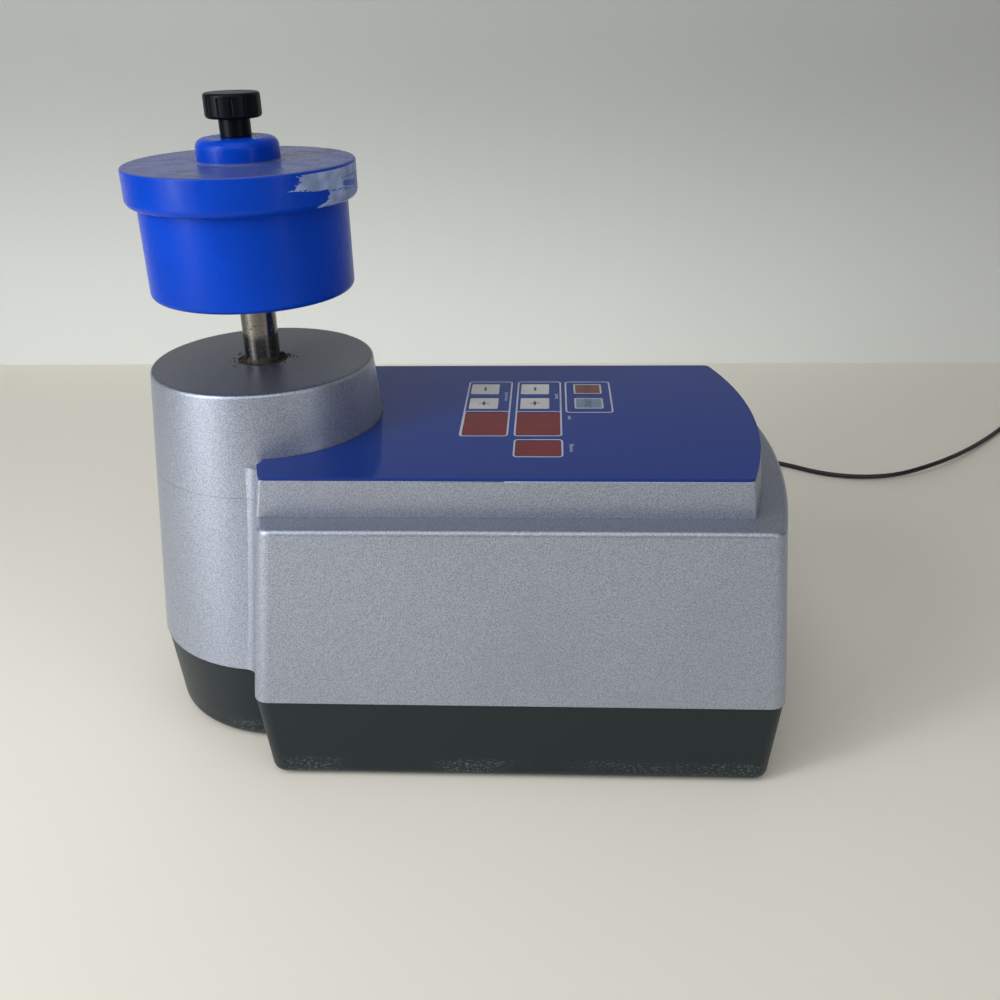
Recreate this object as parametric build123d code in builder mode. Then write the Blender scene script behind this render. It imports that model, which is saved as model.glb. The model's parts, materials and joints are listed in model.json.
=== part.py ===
"""Analytical lab mill: a drum mill on a spindle tower, with a belt drive and a keypad box.

Millimetres, +Z up. The origin lies on the surface that the mill stands on, under the middle of the
mill's own box. Plan positions of the mill are written from the spindle axis, which stands at
x = spindle_x, and heights from the standing surface.
"""

import math
import os
from dataclasses import dataclass

from build123d import *

os.makedirs("parts", exist_ok=True)

# ------------------------------------------------------------------ driving dimensions
# Heights, stacked from the standing surface up
tray_bottom = 2.0
tray_height = 63.5
casing_height = 127.0
block_height = 24.7
tower_rise = 44.1
bare_shaft_length = 49.0
drum_height = 75.7
lid_rise = 7.35
lid_hub_height = 14.65
knob_neck_height = 11.5
knob_height = 15.0

# Spindle tower
tower_foot_radius = 94.9
tower_draft = 5.54
tower_edge_round = 3.0

# Plan of the box at the parting line: its right end from the spindle axis, and half its width
box_reach = 371.0
box_half_width = 132.0

# Casing walls and gaps
casing_wall = 4.0
deck_thickness = 4.0
tray_wall = 5.5
tray_floor = 4.0
tray_inset = 0.6
tray_edge_round = 7.0
parting_gap = 0.6
tongue_height = 3.0
tongue_gap = 0.3
shoulder_round = 3.5
block_edge_round = 1.0
fairing_radius = 10.0
fairing_drop = 3.5
fairing_face_foot = -2.9
fairing_face_top = 12.2

# Control panel
panel_thickness = 2.0
panel_overhang = -0.2
panel_tower_gap = 0.5
panel_corner = 5.0
panel_bevel = ((13.4, 87.0), (14.8, 79.5))
key_size = 20.9
key_gap = 0.25
key_proud = 0.3
key_travel = 0.5
key_flange = 1.2
key_flange_thickness = 1.5
switch_size = 12.0
switch_height = 6.0
key_corner = 1.5
window_corner = 2.0
window_recess = 0.2
window_gap = 0.1
board_thickness = 1.6
board_depth = 12.4
key_seat_gap = 0.1

# Spindle drive
journal_radius = 12.5
shaft_radius = 12.0
pulley_seat_radius = 10.0
spigot_radius = 10.0
bearing_outer_radius = 26.0
bearing_inner_land = 17.3
bearing_width = 15.0
plate_thickness = 8.0
plate_depth = 19.5
bearing_span = 127.0
fit_gap = 0.03
running_gap = 0.08
bolt_gap = 0.2

# Toothed belt: tooth pitch and tooth counts
belt_pitch = 5.0
driven_teeth = 60
motor_teeth = 24
belt_teeth = 109
belt_width = 15.0
belt_back = 1.6
belt_tooth_height = 1.2
pitch_line_depth = 0.5
pulley_width = 24.0
pulley_clearance = 6.0

# Motor
motor_radius = 46.0
motor_length = 96.0
motor_wall = 3.0
rotor_radius = 27.0
air_gap = 0.4
rotor_shaft_radius = 6.0
fan_radius = 36.0
fan_blades = 7

# Drum
drum_radius = 67.2
drum_wall = 4.0
drum_floor = 8.0
drum_boss_radius = 20.0
drum_boss_height = 6.0
drum_foot_round = 4.0
lid_gap = 0.4
lid_skirt_wall = 6.4
lid_skirt_depth = 23.85
lid_skirt_round = 5.0
gasket_thickness = 2.0
lid_hub_radius = 26.4
lid_hub_round = 6.0
tie_rod_radius = 5.0
tie_rod_cover = 4.5

# Clamp knob
knob_radius = 17.7
knob_neck_radius = 9.9
knob_round = 2.0
knob_flutes = 13
flute_radius = 1.1
flute_sink = 0.3

# Mains lead
cord_radius = 2.5
cord_exit_x = 295.0
cord_exit_height = 30.0
relief_length = 34.0
coil_turns_per_layer = 3
coil_pitch = 5.7
coil_outer_radius = 36.0

# ------------------------------------------------------------------ worked-out dimensions
spindle_x = (tower_foot_radius - box_reach) / 2
parting_height = tray_bottom + tray_height
shoulder_height = parting_height + casing_height
deck_height = shoulder_height + block_height
fairing_top = deck_height - fairing_drop
tower_top = deck_height + tower_rise
drum_bottom = tower_top + bare_shaft_length
drum_rim = drum_bottom + drum_height
lid_top = drum_rim + lid_rise
lid_skirt_bottom = lid_top - lid_skirt_depth
lid_hub_top = lid_top + lid_hub_height
knob_neck_top = lid_hub_top + knob_neck_height
knob_top = knob_neck_top + knob_height
tie_rod_top = knob_top - tie_rod_cover
lid_radius = drum_radius + lid_gap + lid_skirt_wall
plate_bottom = parting_height - plate_depth
panel_top = deck_height + panel_thickness
deck_bottom = deck_height - deck_thickness
floor_top = tray_bottom + tray_floor
plate_top = plate_bottom + plate_thickness
lower_bearing = plate_top
upper_bearing = plate_top + bearing_width + bearing_span
housing_top = upper_bearing + bearing_width
pulley_top = plate_bottom - pulley_clearance
pulley_bottom = pulley_top - pulley_width
driven_pitch_radius = driven_teeth * belt_pitch / (2 * math.pi)
motor_pitch_radius = motor_teeth * belt_pitch / (2 * math.pi)
board_top = deck_height - board_depth
rest_of_key = deck_height - key_seat_gap
spindle_axis = Axis((spindle_x, 0, 0), (0, 0, 1))


def belt_length(distance):
    """Length of the belt's pitch line round both pulleys at this centre distance."""
    lean = math.asin((driven_pitch_radius - motor_pitch_radius) / distance)
    spans = 2 * distance * math.cos(lean)
    wraps = math.pi * (driven_pitch_radius + motor_pitch_radius)
    return spans + wraps + 2 * lean * (driven_pitch_radius - motor_pitch_radius)


def centre_distance():
    """Centre distance at which the belt has its whole number of teeth."""
    low = driven_pitch_radius + motor_pitch_radius
    high = belt_teeth * belt_pitch
    for _ in range(60):
        middle = (low + high) / 2
        if belt_length(middle) < belt_teeth * belt_pitch:
            low = middle
        else:
            high = middle
    return middle


motor_x = centre_distance()
motor_axis = Axis((spindle_x + motor_x, 0, 0), (0, 0, 1))


@dataclass(frozen=True)
class Outline:
    """A plan outline of the box: straight sides, bowed ends and rounded corners."""

    height: float
    left: float
    right: float
    half_width: float
    left_bow: float
    right_bow: float
    corner: float

    def face(self, inset=0.0, height=None):
        """The outline as a face, moved inwards by inset."""
        left = self.left + inset
        right = self.right - inset
        side = self.half_width - inset
        with BuildSketch(level(self.height if height is None else height)) as plan:
            with BuildLine():
                Line((left, -side), (right, -side))
                ThreePointArc((right, -side), (right + self.right_bow, 0), (right, side))
                Line((right, side), (left, side))
                ThreePointArc((left, side), (left - self.left_bow, 0), (left, -side))
            make_face()
            fillet(plan.vertices(), max(self.corner - inset, 1.0))
        return plan.sketch


def level(height):
    """A horizontal plane at this height, centred on the spindle axis."""
    return Plane((spindle_x, 0, height))


def upright(x=0.0):
    """A plane through an upright axis at this distance from the spindle: radius by height."""
    return Plane((spindle_x + x, 0, 0), x_dir=(1, 0, 0), z_dir=(0, -1, 0))


def at(x, y, height):
    """A point given from the spindle axis."""
    return (spindle_x + x, y, height)


def tower_radius(height):
    """Outer radius of the tower's cone."""
    return tower_foot_radius - (height - parting_height) * math.tan(math.radians(tower_draft))


def turned(points, axis=spindle_axis, rounds=(), mode=Mode.ADD):
    """Turns a closed (radius, height) profile; rounds are (radius, height, fillet) corners."""
    with BuildSketch(upright(axis.position.X - spindle_x)) as profile:
        with BuildLine():
            Polyline(*points, close=True)
        make_face()
        for radius, height, size in rounds:
            corner = profile.vertices().sort_by_distance(Vector(radius, height))
            fillet(corner[0], size)
    revolve(profile.sketch, axis=axis, mode=mode)


def ring(inner, outer, low, high, axis=spindle_axis, mode=Mode.ADD):
    """Turns a plain ring, or a disc where inner is 0."""
    turned([(inner, low), (outer, low), (outer, high), (inner, high)], axis, mode=mode)


def posts(places, radius, low, high, mode=Mode.ADD):
    """Upright round posts, or holes, at places from the spindle axis."""
    with BuildSketch(level(low)) as plan:
        with Locations(*places):
            Circle(radius)
    extrude(plan.sketch, amount=high - low, mode=mode)


def slab(x, y, low, high, corner=0.0, mode=Mode.ADD):
    """A block between two x and two y, with rounded upright corners."""
    with BuildSketch(level(low)) as plan:
        with Locations(((x[0] + x[1]) / 2, (y[0] + y[1]) / 2)):
            if corner:
                RectangleRounded(x[1] - x[0], y[1] - y[0], corner)
            else:
                Rectangle(x[1] - x[0], y[1] - y[0])
    extrude(plan.sketch, amount=high - low, mode=mode)


def screws(places, shank, head, tip, seat, head_height, socket, down=False):
    """Cap screws with a hexagon socket: shank from tip to seat, head beyond the seat."""
    top = seat - head_height if down else seat + head_height
    low, high = (seat, tip) if down else (tip, seat)
    posts(places, shank, low, high)
    posts(places, head, min(seat, top), max(seat, top))
    with BuildSketch(level(min(top, top - math.copysign(head_height / 2, top - seat)))) as sockets:
        with Locations(*places):
            RegularPolygon(socket, 6)
    extrude(sockets.sketch, amount=head_height / 2, mode=Mode.SUBTRACT)


def around(count, radius, start=0.0, x=0.0):
    """Places evenly spaced on a circle."""
    turns = [math.radians(start + 360 * i / count) for i in range(count)]
    return [(x + radius * math.cos(t), radius * math.sin(t)) for t in turns]


def mirrored(places):
    """Each place and its twin on the far side."""
    return [(x, side * y) for x, y in places for side in (-1, 1)]


def corners(x, y, inset):
    """The four places this far inside the corners of a rectangle."""
    return [(a, b) for a in (x[0] + inset, x[1] - inset) for b in (y[0] + inset, y[1] - inset)]


def square(place, half_x, half_y=None):
    """The x and y ends of a rectangle round a place."""
    half_y = half_x if half_y is None else half_y
    return (place[0] - half_x, place[0] + half_x), (place[1] - half_y, place[1] + half_y)


def keep(builder, label):
    """Labels a finished piece and writes it."""
    builder.part.label = label
    export_step(builder.part, f"parts/{label}.step")


# ------------------------------------------------------------------ casing outlines
wall_bow = 19.0
parting_line = Outline(
    parting_height, 4.5, box_reach - wall_bow, box_half_width, wall_bow, wall_bow, 11.0
)
shoulder = Outline(
    shoulder_height, 19.5, box_reach - 30.0, box_half_width - 3.85, 18.0, 18.0, 10.5
)
block_foot = Outline(
    shoulder_height, 14.3, box_reach - 43.5, box_half_width - 23.0, 13.0, 17.0, 3.0
)
block_top = Outline(
    deck_height, 18.2, box_reach - 46.6, box_half_width - 24.3, 17.1, 17.1, 3.0
)
tray_foot = Outline(
    tray_bottom, 10.0, box_reach - 24.5, box_half_width - 3.0, wall_bow, wall_bow, 11.0
)
tray_tower_foot = tower_foot_radius - 5.3

# Places of the posts and screws, from the spindle axis
tower_post = (20.9 - tower_foot_radius, 0.0)
side_posts = [(45.0, box_half_width - 18.0), (190.0, box_half_width - 18.0)]
end_post = (box_reach - 53.0, box_half_width - 20.0)
casing_screw_places = [tower_post] + mirrored(side_posts + [end_post])
chassis_half_width = box_half_width - 48.0
chassis_screw_places = mirrored(
    [(-46.0, 46.0), (110.0, chassis_half_width), (box_reach - 53.0, chassis_half_width)]
)
foot_places = mirrored([(-35.0, 60.0), (box_reach - 84.0, box_half_width - 26.0)])
housing_bolt_places = around(4, 48.0, 45)
casing_post_radius = 6.0
casing_screw_radius = 2.0
chassis_post_radius = 6.0
chassis_screw_radius = 2.5
housing_bolt_radius = 3.0
foot_radius = 10.0
foot_recess = 3.0
foot_screw_radius = 2.0

# Keypad layout, from the spindle axis: centres of the keys and windows
key_places = {
    "time_minus_key": (151.2, 52.1),
    "time_plus_key": (151.7, 21.9),
    "speed_minus_key": (188.5, 52.1),
    "speed_plus_key": (188.7, 21.9),
    "stop_key": (227.6, 51.9),
    "start_key": (227.7, 21.7),
}
window_places = {
    "time_window": ((155.0, -16.3), (30.0, 43.0)),
    "speed_window": ((191.6, -16.5), (30.0, 42.2)),
    "status_window": ((192.0, -59.9), (30.0, 25.5)),
}
display_opening = ((133.0, 246.0), (-78.0, 72.0))
board_edge = 7.0
board_x = (display_opening[0][0] - board_edge, display_opening[0][1] + board_edge)
board_y = (display_opening[1][0] - board_edge, display_opening[1][1] + board_edge)
board_screw_inset = 3.5
board_screw_radius = 1.5
board_screw_places = corners(board_x, board_y, board_screw_inset)


def fairing_face(height, face_x, side):
    """The concave fairing between tower and box at one height: an arc tangent to both."""
    tower = tower_radius(height)
    reach = tower + fairing_radius
    centre = Vector(face_x - fairing_radius, -math.sqrt(reach**2 - (face_x - fairing_radius) ** 2))
    on_tower = centre * (tower / reach)
    on_face = Vector(face_x, centre.Y)
    towards = ((on_tower - centre).normalized() + (on_face - centre).normalized()).normalized()
    middle = centre + towards * fairing_radius
    # The rest of the outline runs inside the tower and the box
    inner_x = face_x + 2 * casing_wall
    inside = [(inner_x, centre.Y), (inner_x, centre.Y * 0.8), (on_tower.X, on_tower.Y * 0.9)]
    with BuildSketch(level(height)) as plan:
        with BuildLine():
            ThreePointArc(*[(p.X, side * p.Y) for p in (on_tower, middle, on_face)])
            corners = [(on_face.X, on_face.Y)] + inside + [(on_tower.X, on_tower.Y)]
            Polyline(*[(x, side * y) for x, y in corners])
        make_face()
    return plan.sketch


# ------------------------------------------------------------------ upper housing
casing_post_height = 22.0
web_half = 1.5
web_gap = 1.0
board_post_radius = 3.5
seal_wall = 5.0
seal_radius = shaft_radius + seal_wall
with BuildPart() as upper_housing:
    loft([parting_line.face(), shoulder.face()], ruled=True)
    fillet(upper_housing.edges().group_by(Axis.Z)[-1], shoulder_round)
    loft([block_foot.face(), block_top.face()], ruled=True)
    fillet(upper_housing.edges().group_by(Axis.Z)[-1], block_edge_round)
    turned(
        [
            (0, parting_height),
            (tower_foot_radius, parting_height),
            (tower_radius(tower_top), tower_top),
            (0, tower_top),
        ],
        rounds=[(tower_radius(tower_top), tower_top, tower_edge_round)],
    )
    for side in (1, -1):
        foot_face = fairing_face(parting_height, fairing_face_foot, side)
        top_face = fairing_face(fairing_top, fairing_face_top, side)
        loft([foot_face, top_face], ruled=True)
    # The hollow inside
    loft(
        [
            parting_line.face(casing_wall),
            shoulder.face(casing_wall, shoulder_height - casing_wall),
        ],
        ruled=True,
        mode=Mode.SUBTRACT,
    )
    loft(
        [
            block_foot.face(casing_wall, shoulder_height - 2 * casing_wall),
            block_top.face(casing_wall, deck_bottom),
        ],
        ruled=True,
        mode=Mode.SUBTRACT,
    )
    inner_top = tower_top - casing_wall
    turned(
        [
            (0, parting_height),
            (tower_foot_radius - casing_wall, parting_height),
            (tower_radius(inner_top) - casing_wall, inner_top),
            (0, inner_top),
        ],
        mode=Mode.SUBTRACT,
    )
    # Screw posts, each on a web to the wall
    casing_post_top = parting_height + casing_post_height
    web_bottom = parting_height + tongue_height + web_gap
    posts(casing_screw_places, casing_post_radius, parting_height, casing_post_top)
    for x, y in casing_screw_places[1:]:
        reach = sorted((y, math.copysign(parting_line.half_width - casing_wall / 2, y)))
        slab((x - web_half, x + web_half), reach, web_bottom, casing_post_top)
    tower_web = (casing_wall + web_half - tower_foot_radius, tower_post[0])
    slab(tower_web, (-web_half, web_half), web_bottom, casing_post_top)
    screw_hole = casing_screw_radius + bolt_gap
    hole_top = casing_post_top - casing_wall
    posts(casing_screw_places, screw_hole, parting_height, hole_top, mode=Mode.SUBTRACT)
    # Posts for the display board, under the deck
    board_hole = board_screw_radius + bolt_gap
    posts(board_screw_places, board_post_radius, board_top, deck_bottom)
    posts(board_screw_places, board_hole, board_top, deck_bottom - 1, mode=Mode.SUBTRACT)
    slab(*display_opening, deck_bottom, deck_height, mode=Mode.SUBTRACT)
    # Hole for the shaft seal
    posts([(0, 0)], seal_radius, inner_top, tower_top, mode=Mode.SUBTRACT)
keep(upper_housing, "upper_housing")

# ------------------------------------------------------------------ base tray
tray_rim = parting_height - parting_gap
gland_pad_radius = 12.0
gland_pad_inset = 0.2
gland_face = box_half_width - gland_pad_inset
gland_hole_radius = 6.2
gland_pad_lip = 1.5
tongue_taper = 0.4
screw_head_gap = 0.9
casing_head_radius = 3.6
casing_head_seat = floor_top + 30.0
foot_boss_wall = 3.0
foot_boss_height = 5.0
foot_gap = 0.3
chassis_hole_depth = 22.0
slot_count = 7
slot_pitch = 9.0
slot_half_width = 2.0
slot_half_length = 24.0
with BuildPart() as base_tray:
    loft([tray_foot.face(tray_inset), parting_line.face(tray_inset, tray_rim)], ruled=True)
    turned(
        [
            (0, tray_bottom),
            (tray_tower_foot - tray_inset, tray_bottom),
            (tower_foot_radius - tray_inset, tray_rim),
            (0, tray_rim),
        ]
    )
    fillet(base_tray.edges().group_by(Axis.Z)[0], tray_edge_round)
    tongue_inset = casing_wall + tongue_gap
    tongue_top = parting_height + tongue_height
    loft(
        [
            parting_line.face(tongue_inset, tray_rim),
            parting_line.face(tongue_inset + tongue_taper, tongue_top),
        ],
        ruled=True,
    )
    ring(0, tower_foot_radius - tongue_inset - tongue_taper, tray_rim, tongue_top)
    # The hollow inside
    inner_inset = tray_inset + tray_wall
    loft(
        [tray_foot.face(inner_inset, floor_top), parting_line.face(inner_inset, tongue_top)],
        ruled=True,
        mode=Mode.SUBTRACT,
    )
    turned(
        [
            (0, floor_top),
            (tray_tower_foot - inner_inset, floor_top),
            (tower_foot_radius - inner_inset, tongue_top),
            (0, tongue_top),
        ],
        mode=Mode.SUBTRACT,
    )
    # Posts for the casing, the chassis plate and the feet
    posts(casing_screw_places, casing_post_radius, floor_top, parting_height)
    posts(chassis_screw_places, chassis_post_radius, floor_top, plate_bottom)
    posts(foot_places, foot_radius + foot_boss_wall, floor_top, floor_top + foot_boss_height)
    posts(casing_screw_places, screw_hole, tray_bottom, parting_height, mode=Mode.SUBTRACT)
    head_hole = casing_head_radius + screw_head_gap
    posts(casing_screw_places, head_hole, tray_bottom, casing_head_seat, mode=Mode.SUBTRACT)
    chassis_hole = chassis_screw_radius + bolt_gap
    hole_low = plate_bottom - chassis_hole_depth
    posts(chassis_screw_places, chassis_hole, hole_low, plate_bottom, mode=Mode.SUBTRACT)
    recess_top = tray_bottom + foot_recess
    posts(foot_places, foot_radius + foot_gap, tray_bottom, recess_top, mode=Mode.SUBTRACT)
    foot_hole = foot_screw_radius + bolt_gap
    foot_hole_top = floor_top + foot_boss_height - 1
    posts(foot_places, foot_hole, tray_bottom, foot_hole_top, mode=Mode.SUBTRACT)
    # Cooling slots in the floor, under the motor
    slot_y = (-slot_half_length, slot_half_length)
    for i in range(slot_count):
        slot_x = motor_x + slot_pitch * (i - (slot_count - 1) / 2)
        ends = (slot_x - slot_half_width, slot_x + slot_half_width)
        slab(ends, slot_y, tray_bottom, floor_top, corner=1.9, mode=Mode.SUBTRACT)
    # Pad and hole for the lead's gland, in the rear wall
    gland_plane = Plane(at(cord_exit_x, gland_face, cord_exit_height), z_dir=(0, -1, 0))
    pad_depth = gland_face - tray_foot.half_width + inner_inset + tray_wall - gland_pad_lip
    with BuildSketch(gland_plane) as pad:
        Circle(gland_pad_radius)
    extrude(pad.sketch, amount=pad_depth)
    with BuildSketch(gland_plane) as hole:
        Circle(gland_hole_radius)
    extrude(hole.sketch, amount=2 * pad_depth, mode=Mode.SUBTRACT)
keep(base_tray, "base_tray")

# ------------------------------------------------------------------ feet and casing screws
foot_height = tray_bottom + foot_recess
foot_head_seat = 3.5
foot_head_radius = 3.8
foot_head_gap = 0.5
with BuildPart() as rubber_feet:
    posts(foot_places, foot_radius, 0, foot_height)
    chamfer(rubber_feet.edges().group_by(Axis.Z)[0], 1.0)
    posts(foot_places, foot_head_radius + foot_head_gap, 0, foot_head_seat, mode=Mode.SUBTRACT)
    posts(foot_places, foot_hole, foot_head_seat, foot_height, mode=Mode.SUBTRACT)
keep(rubber_feet, "rubber_feet")

with BuildPart() as foot_screws:
    screws(
        foot_places,
        shank=foot_screw_radius,
        head=foot_head_radius,
        tip=floor_top + foot_boss_height - 2,
        seat=foot_head_seat,
        head_height=2.4,
        socket=2.0,
        down=True,
    )
keep(foot_screws, "foot_screws")

with BuildPart() as casing_screws:
    screws(
        casing_screw_places,
        shank=casing_screw_radius,
        head=casing_head_radius,
        tip=casing_post_top - 6,
        seat=casing_head_seat,
        head_height=3.0,
        socket=2.0,
        down=True,
    )
keep(casing_screws, "casing_screws")

# ------------------------------------------------------------------ chassis plate
plate_hole = journal_radius + 6.5
plate_tower_radius = 70.0
plate_x = (12.0, box_reach - 43.0)
plate_half_width = box_half_width - 36.0
plate_corner = 12.0
pulley_hole_gap = 5.0
motor_bolt_reach = motor_radius - 12.0
motor_slot = (8.0, 5.6)
motor_bolt_places = mirrored(
    [(motor_x - motor_bolt_reach, motor_bolt_reach), (motor_x + motor_bolt_reach, motor_bolt_reach)]
)
with BuildPart() as chassis_plate:
    ring(0, plate_tower_radius, plate_bottom, plate_top)
    plate_y = (-plate_half_width, plate_half_width)
    slab(plate_x, plate_y, plate_bottom, plate_top, corner=plate_corner)
    bolt_hole = housing_bolt_radius + bolt_gap
    for places, radius in (
        ([(0, 0)], plate_hole),
        ([tower_post], casing_post_radius + 2),
        (housing_bolt_places, bolt_hole),
        (chassis_screw_places, chassis_hole),
        ([(motor_x, 0)], motor_pitch_radius + pulley_hole_gap),
    ):
        posts(places, radius, plate_bottom, plate_top, mode=Mode.SUBTRACT)
    # Slots along the box let the motor slide to tighten the belt
    with BuildSketch(level(plate_bottom)) as motor_slots:
        with Locations(*motor_bolt_places):
            SlotCenterToCenter(*motor_slot)
    extrude(motor_slots.sketch, amount=plate_thickness, mode=Mode.SUBTRACT)
keep(chassis_plate, "chassis_plate")

with BuildPart() as chassis_screws:
    screws(
        chassis_screw_places,
        shank=chassis_screw_radius,
        head=4.3,
        tip=plate_bottom - 16,
        seat=plate_top,
        head_height=4.0,
        socket=2.5,
    )
keep(chassis_screws, "chassis_screws")

# ------------------------------------------------------------------ bearing housing
tube_radius = bearing_outer_radius + 10.0
flange_radius = 58.0
flange_thickness = 10.0
middle_bore = bearing_outer_radius - 4.0
clip_thickness = 1.2
clip_depth = 1.6
clip_groove_radius = bearing_outer_radius + clip_depth
clip_gap = 0.1
housing_end = housing_top + 5.0
web_height = 55.0
web_sink = 3.0
web_half_thickness = 3.5
with BuildPart() as bearing_housing:
    turned(
        [
            (bearing_outer_radius, lower_bearing),
            (flange_radius, lower_bearing),
            (flange_radius, lower_bearing + flange_thickness),
            (tube_radius, lower_bearing + flange_thickness),
            (tube_radius, housing_end),
            (bearing_outer_radius, housing_end),
            (bearing_outer_radius, upper_bearing),
            (middle_bore, upper_bearing),
            (middle_bore, lower_bearing + bearing_width),
            (bearing_outer_radius, lower_bearing + bearing_width),
        ],
        rounds=[(tube_radius, lower_bearing + flange_thickness, 5.0)],
    )
    # Four webs between flange and tube, midway between the bolts
    web_top = lower_bearing + web_height
    web_outer = flange_radius - 4
    flange_top = lower_bearing + flange_thickness
    for turn in range(0, 360, 90):
        outward = Vector(1, 0, 0).rotate(Axis.Z, turn)
        across = Vector(0, -1, 0).rotate(Axis.Z, turn)
        with BuildSketch(Plane((spindle_x, 0, 0), x_dir=outward, z_dir=across)) as web:
            with BuildLine():
                Polyline(
                    (tube_radius - web_sink, flange_top - web_sink),
                    (web_outer, flange_top - web_sink),
                    (web_outer, flange_top),
                    (tube_radius, web_top),
                    (tube_radius - web_sink, web_top),
                    close=True,
                )
            make_face()
        extrude(web.sketch, amount=web_half_thickness, both=True)
    posts(housing_bolt_places, bolt_hole, lower_bearing, flange_top, mode=Mode.SUBTRACT)
    groove_top = housing_top + clip_thickness + clip_gap
    ring(middle_bore, clip_groove_radius, housing_top, groove_top, mode=Mode.SUBTRACT)
keep(bearing_housing, "bearing_housing")

with BuildPart() as housing_bolts:
    screws(
        housing_bolt_places,
        shank=housing_bolt_radius,
        head=5.0,
        tip=plate_bottom - 4,
        seat=flange_top,
        head_height=6.0,
        socket=3.0,
    )
keep(housing_bolts, "housing_bolts")

clip_top = housing_top + clip_thickness
clip_inner = bearing_outer_radius - 3.2
clip_mouth_half = 5.0
eye_radius = 2.6
eye_places = mirrored([(clip_inner - 0.5, clip_mouth_half + 2.0)])
with BuildPart() as retaining_ring:
    ring(clip_inner, clip_groove_radius - clip_gap, housing_top, clip_top)
    mouth_y = (-clip_mouth_half, clip_mouth_half)
    slab((0, clip_groove_radius), mouth_y, housing_top, clip_top, mode=Mode.SUBTRACT)
    # An eye on each end, for the pliers
    posts(eye_places, eye_radius, housing_top, clip_top)
    posts(eye_places, eye_radius - 1.5, housing_top, clip_top, mode=Mode.SUBTRACT)
keep(retaining_ring, "retaining_ring")

# ------------------------------------------------------------------ spindle bearings
shield_step = 0.7
shield_edge = bearing_outer_radius - 3.5
land = bearing_inner_land + running_gap
with BuildPart() as bearing_outer_rings:
    for bottom in (lower_bearing, upper_bearing):
        top = bottom + bearing_width
        turned(
            [
                (shield_edge, bottom),
                (bearing_outer_radius - fit_gap, bottom),
                (bearing_outer_radius - fit_gap, top),
                (shield_edge, top),
                (shield_edge, top - shield_step),
                (land, top - shield_step),
                (land, bottom + shield_step),
                (shield_edge, bottom + shield_step),
            ]
        )
keep(bearing_outer_rings, "bearing_outer_rings")

with BuildPart() as bearing_inner_rings:
    for bottom in (lower_bearing, upper_bearing):
        ring(journal_radius + fit_gap, bearing_inner_land, bottom, bottom + bearing_width)
keep(bearing_inner_rings, "bearing_inner_rings")

# ------------------------------------------------------------------ spindle
collar_radius = journal_radius + 2.5
collar_height = 4.0
shaft_bottom = pulley_bottom + 0.5
shaft_shoulder = pulley_top + 0.5
spigot_length = 26.0
spigot_top = drum_bottom + spigot_length
bolt_bore_radius = 4.1
bolt_bore_depth = 24.0
rod_bore_depth = 20.0
key_width = 6.0
key_floor = pulley_seat_radius - 3.5
key_rise = 2.5
key_half = key_width / 2
key_side_gap = 0.02
key_low = pulley_bottom + 2
key_high = pulley_top - 2
tube_wall = 3.5
sleeve_radius = journal_radius + tube_wall
with BuildPart() as drive_shaft:
    turned(
        [
            (0, shaft_bottom),
            (pulley_seat_radius, shaft_bottom),
            (pulley_seat_radius, shaft_shoulder),
            (journal_radius, shaft_shoulder),
            (journal_radius, housing_top),
            (collar_radius, housing_top),
            (collar_radius, housing_top + collar_height),
            (shaft_radius, housing_top + collar_height),
            (shaft_radius, drum_bottom),
            (spigot_radius, drum_bottom),
            (spigot_radius, spigot_top),
            (0, spigot_top),
        ],
        rounds=[
            (collar_radius, housing_top + collar_height, 1.0),
            (spigot_radius, spigot_top, 1.0),
        ],
    )
    bolt_bore_top = shaft_bottom + bolt_bore_depth
    posts([(0, 0)], bolt_bore_radius, shaft_bottom, bolt_bore_top, mode=Mode.SUBTRACT)
    rod_bore = tie_rod_radius + fit_gap
    posts([(0, 0)], rod_bore, spigot_top - rod_bore_depth, spigot_top, mode=Mode.SUBTRACT)
    keyway = (key_floor, journal_radius + fit_gap)
    slab(keyway, (-key_half, key_half), key_low, key_high, mode=Mode.SUBTRACT)
keep(drive_shaft, "drive_shaft")

with BuildPart() as distance_tube:
    ring(journal_radius + fit_gap, sleeve_radius, lower_bearing + bearing_width, upper_bearing)
keep(distance_tube, "distance_tube")

with BuildPart() as pulley_feather_key:
    key_x = (key_floor + key_side_gap, pulley_seat_radius + key_rise)
    key_y = (key_side_gap - key_half, key_half - key_side_gap)
    slab(key_x, key_y, key_low + fit_gap, key_high - fit_gap)
keep(pulley_feather_key, "pulley_feather_key")

bolt_washer_radius = pulley_seat_radius + 4.0
bolt_washer_thickness = 2.5
with BuildPart() as pulley_bolt:
    washer_bottom = pulley_bottom - bolt_washer_thickness
    ring(0, bolt_washer_radius, washer_bottom, pulley_bottom)
    screws(
        [(0, 0)],
        shank=bolt_bore_radius - 0.1,
        head=6.5,
        tip=bolt_bore_top - 4,
        seat=washer_bottom,
        head_height=5.3,
        socket=3.5,
        down=True,
    )
keep(pulley_bolt, "pulley_bolt")

seal_gap = 0.15
seal_depth = 0.5
with BuildPart() as shaft_seal:
    ring(shaft_radius + seal_gap, seal_radius - fit_gap, inner_top + seal_gap, tower_top - seal_depth)
keep(shaft_seal, "shaft_seal")

# ------------------------------------------------------------------ toothed belt drive
groove_depth = belt_tooth_height + 0.15
rim_height = 3.2
channel_gap = 0.8
groove_mouth = 2.9
groove_over = 0.4
groove_floor = 2.0
tooth_root = 2.5
tooth_tip = 1.6
belt_low = pulley_bottom + (pulley_width - belt_width) / 2


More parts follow.
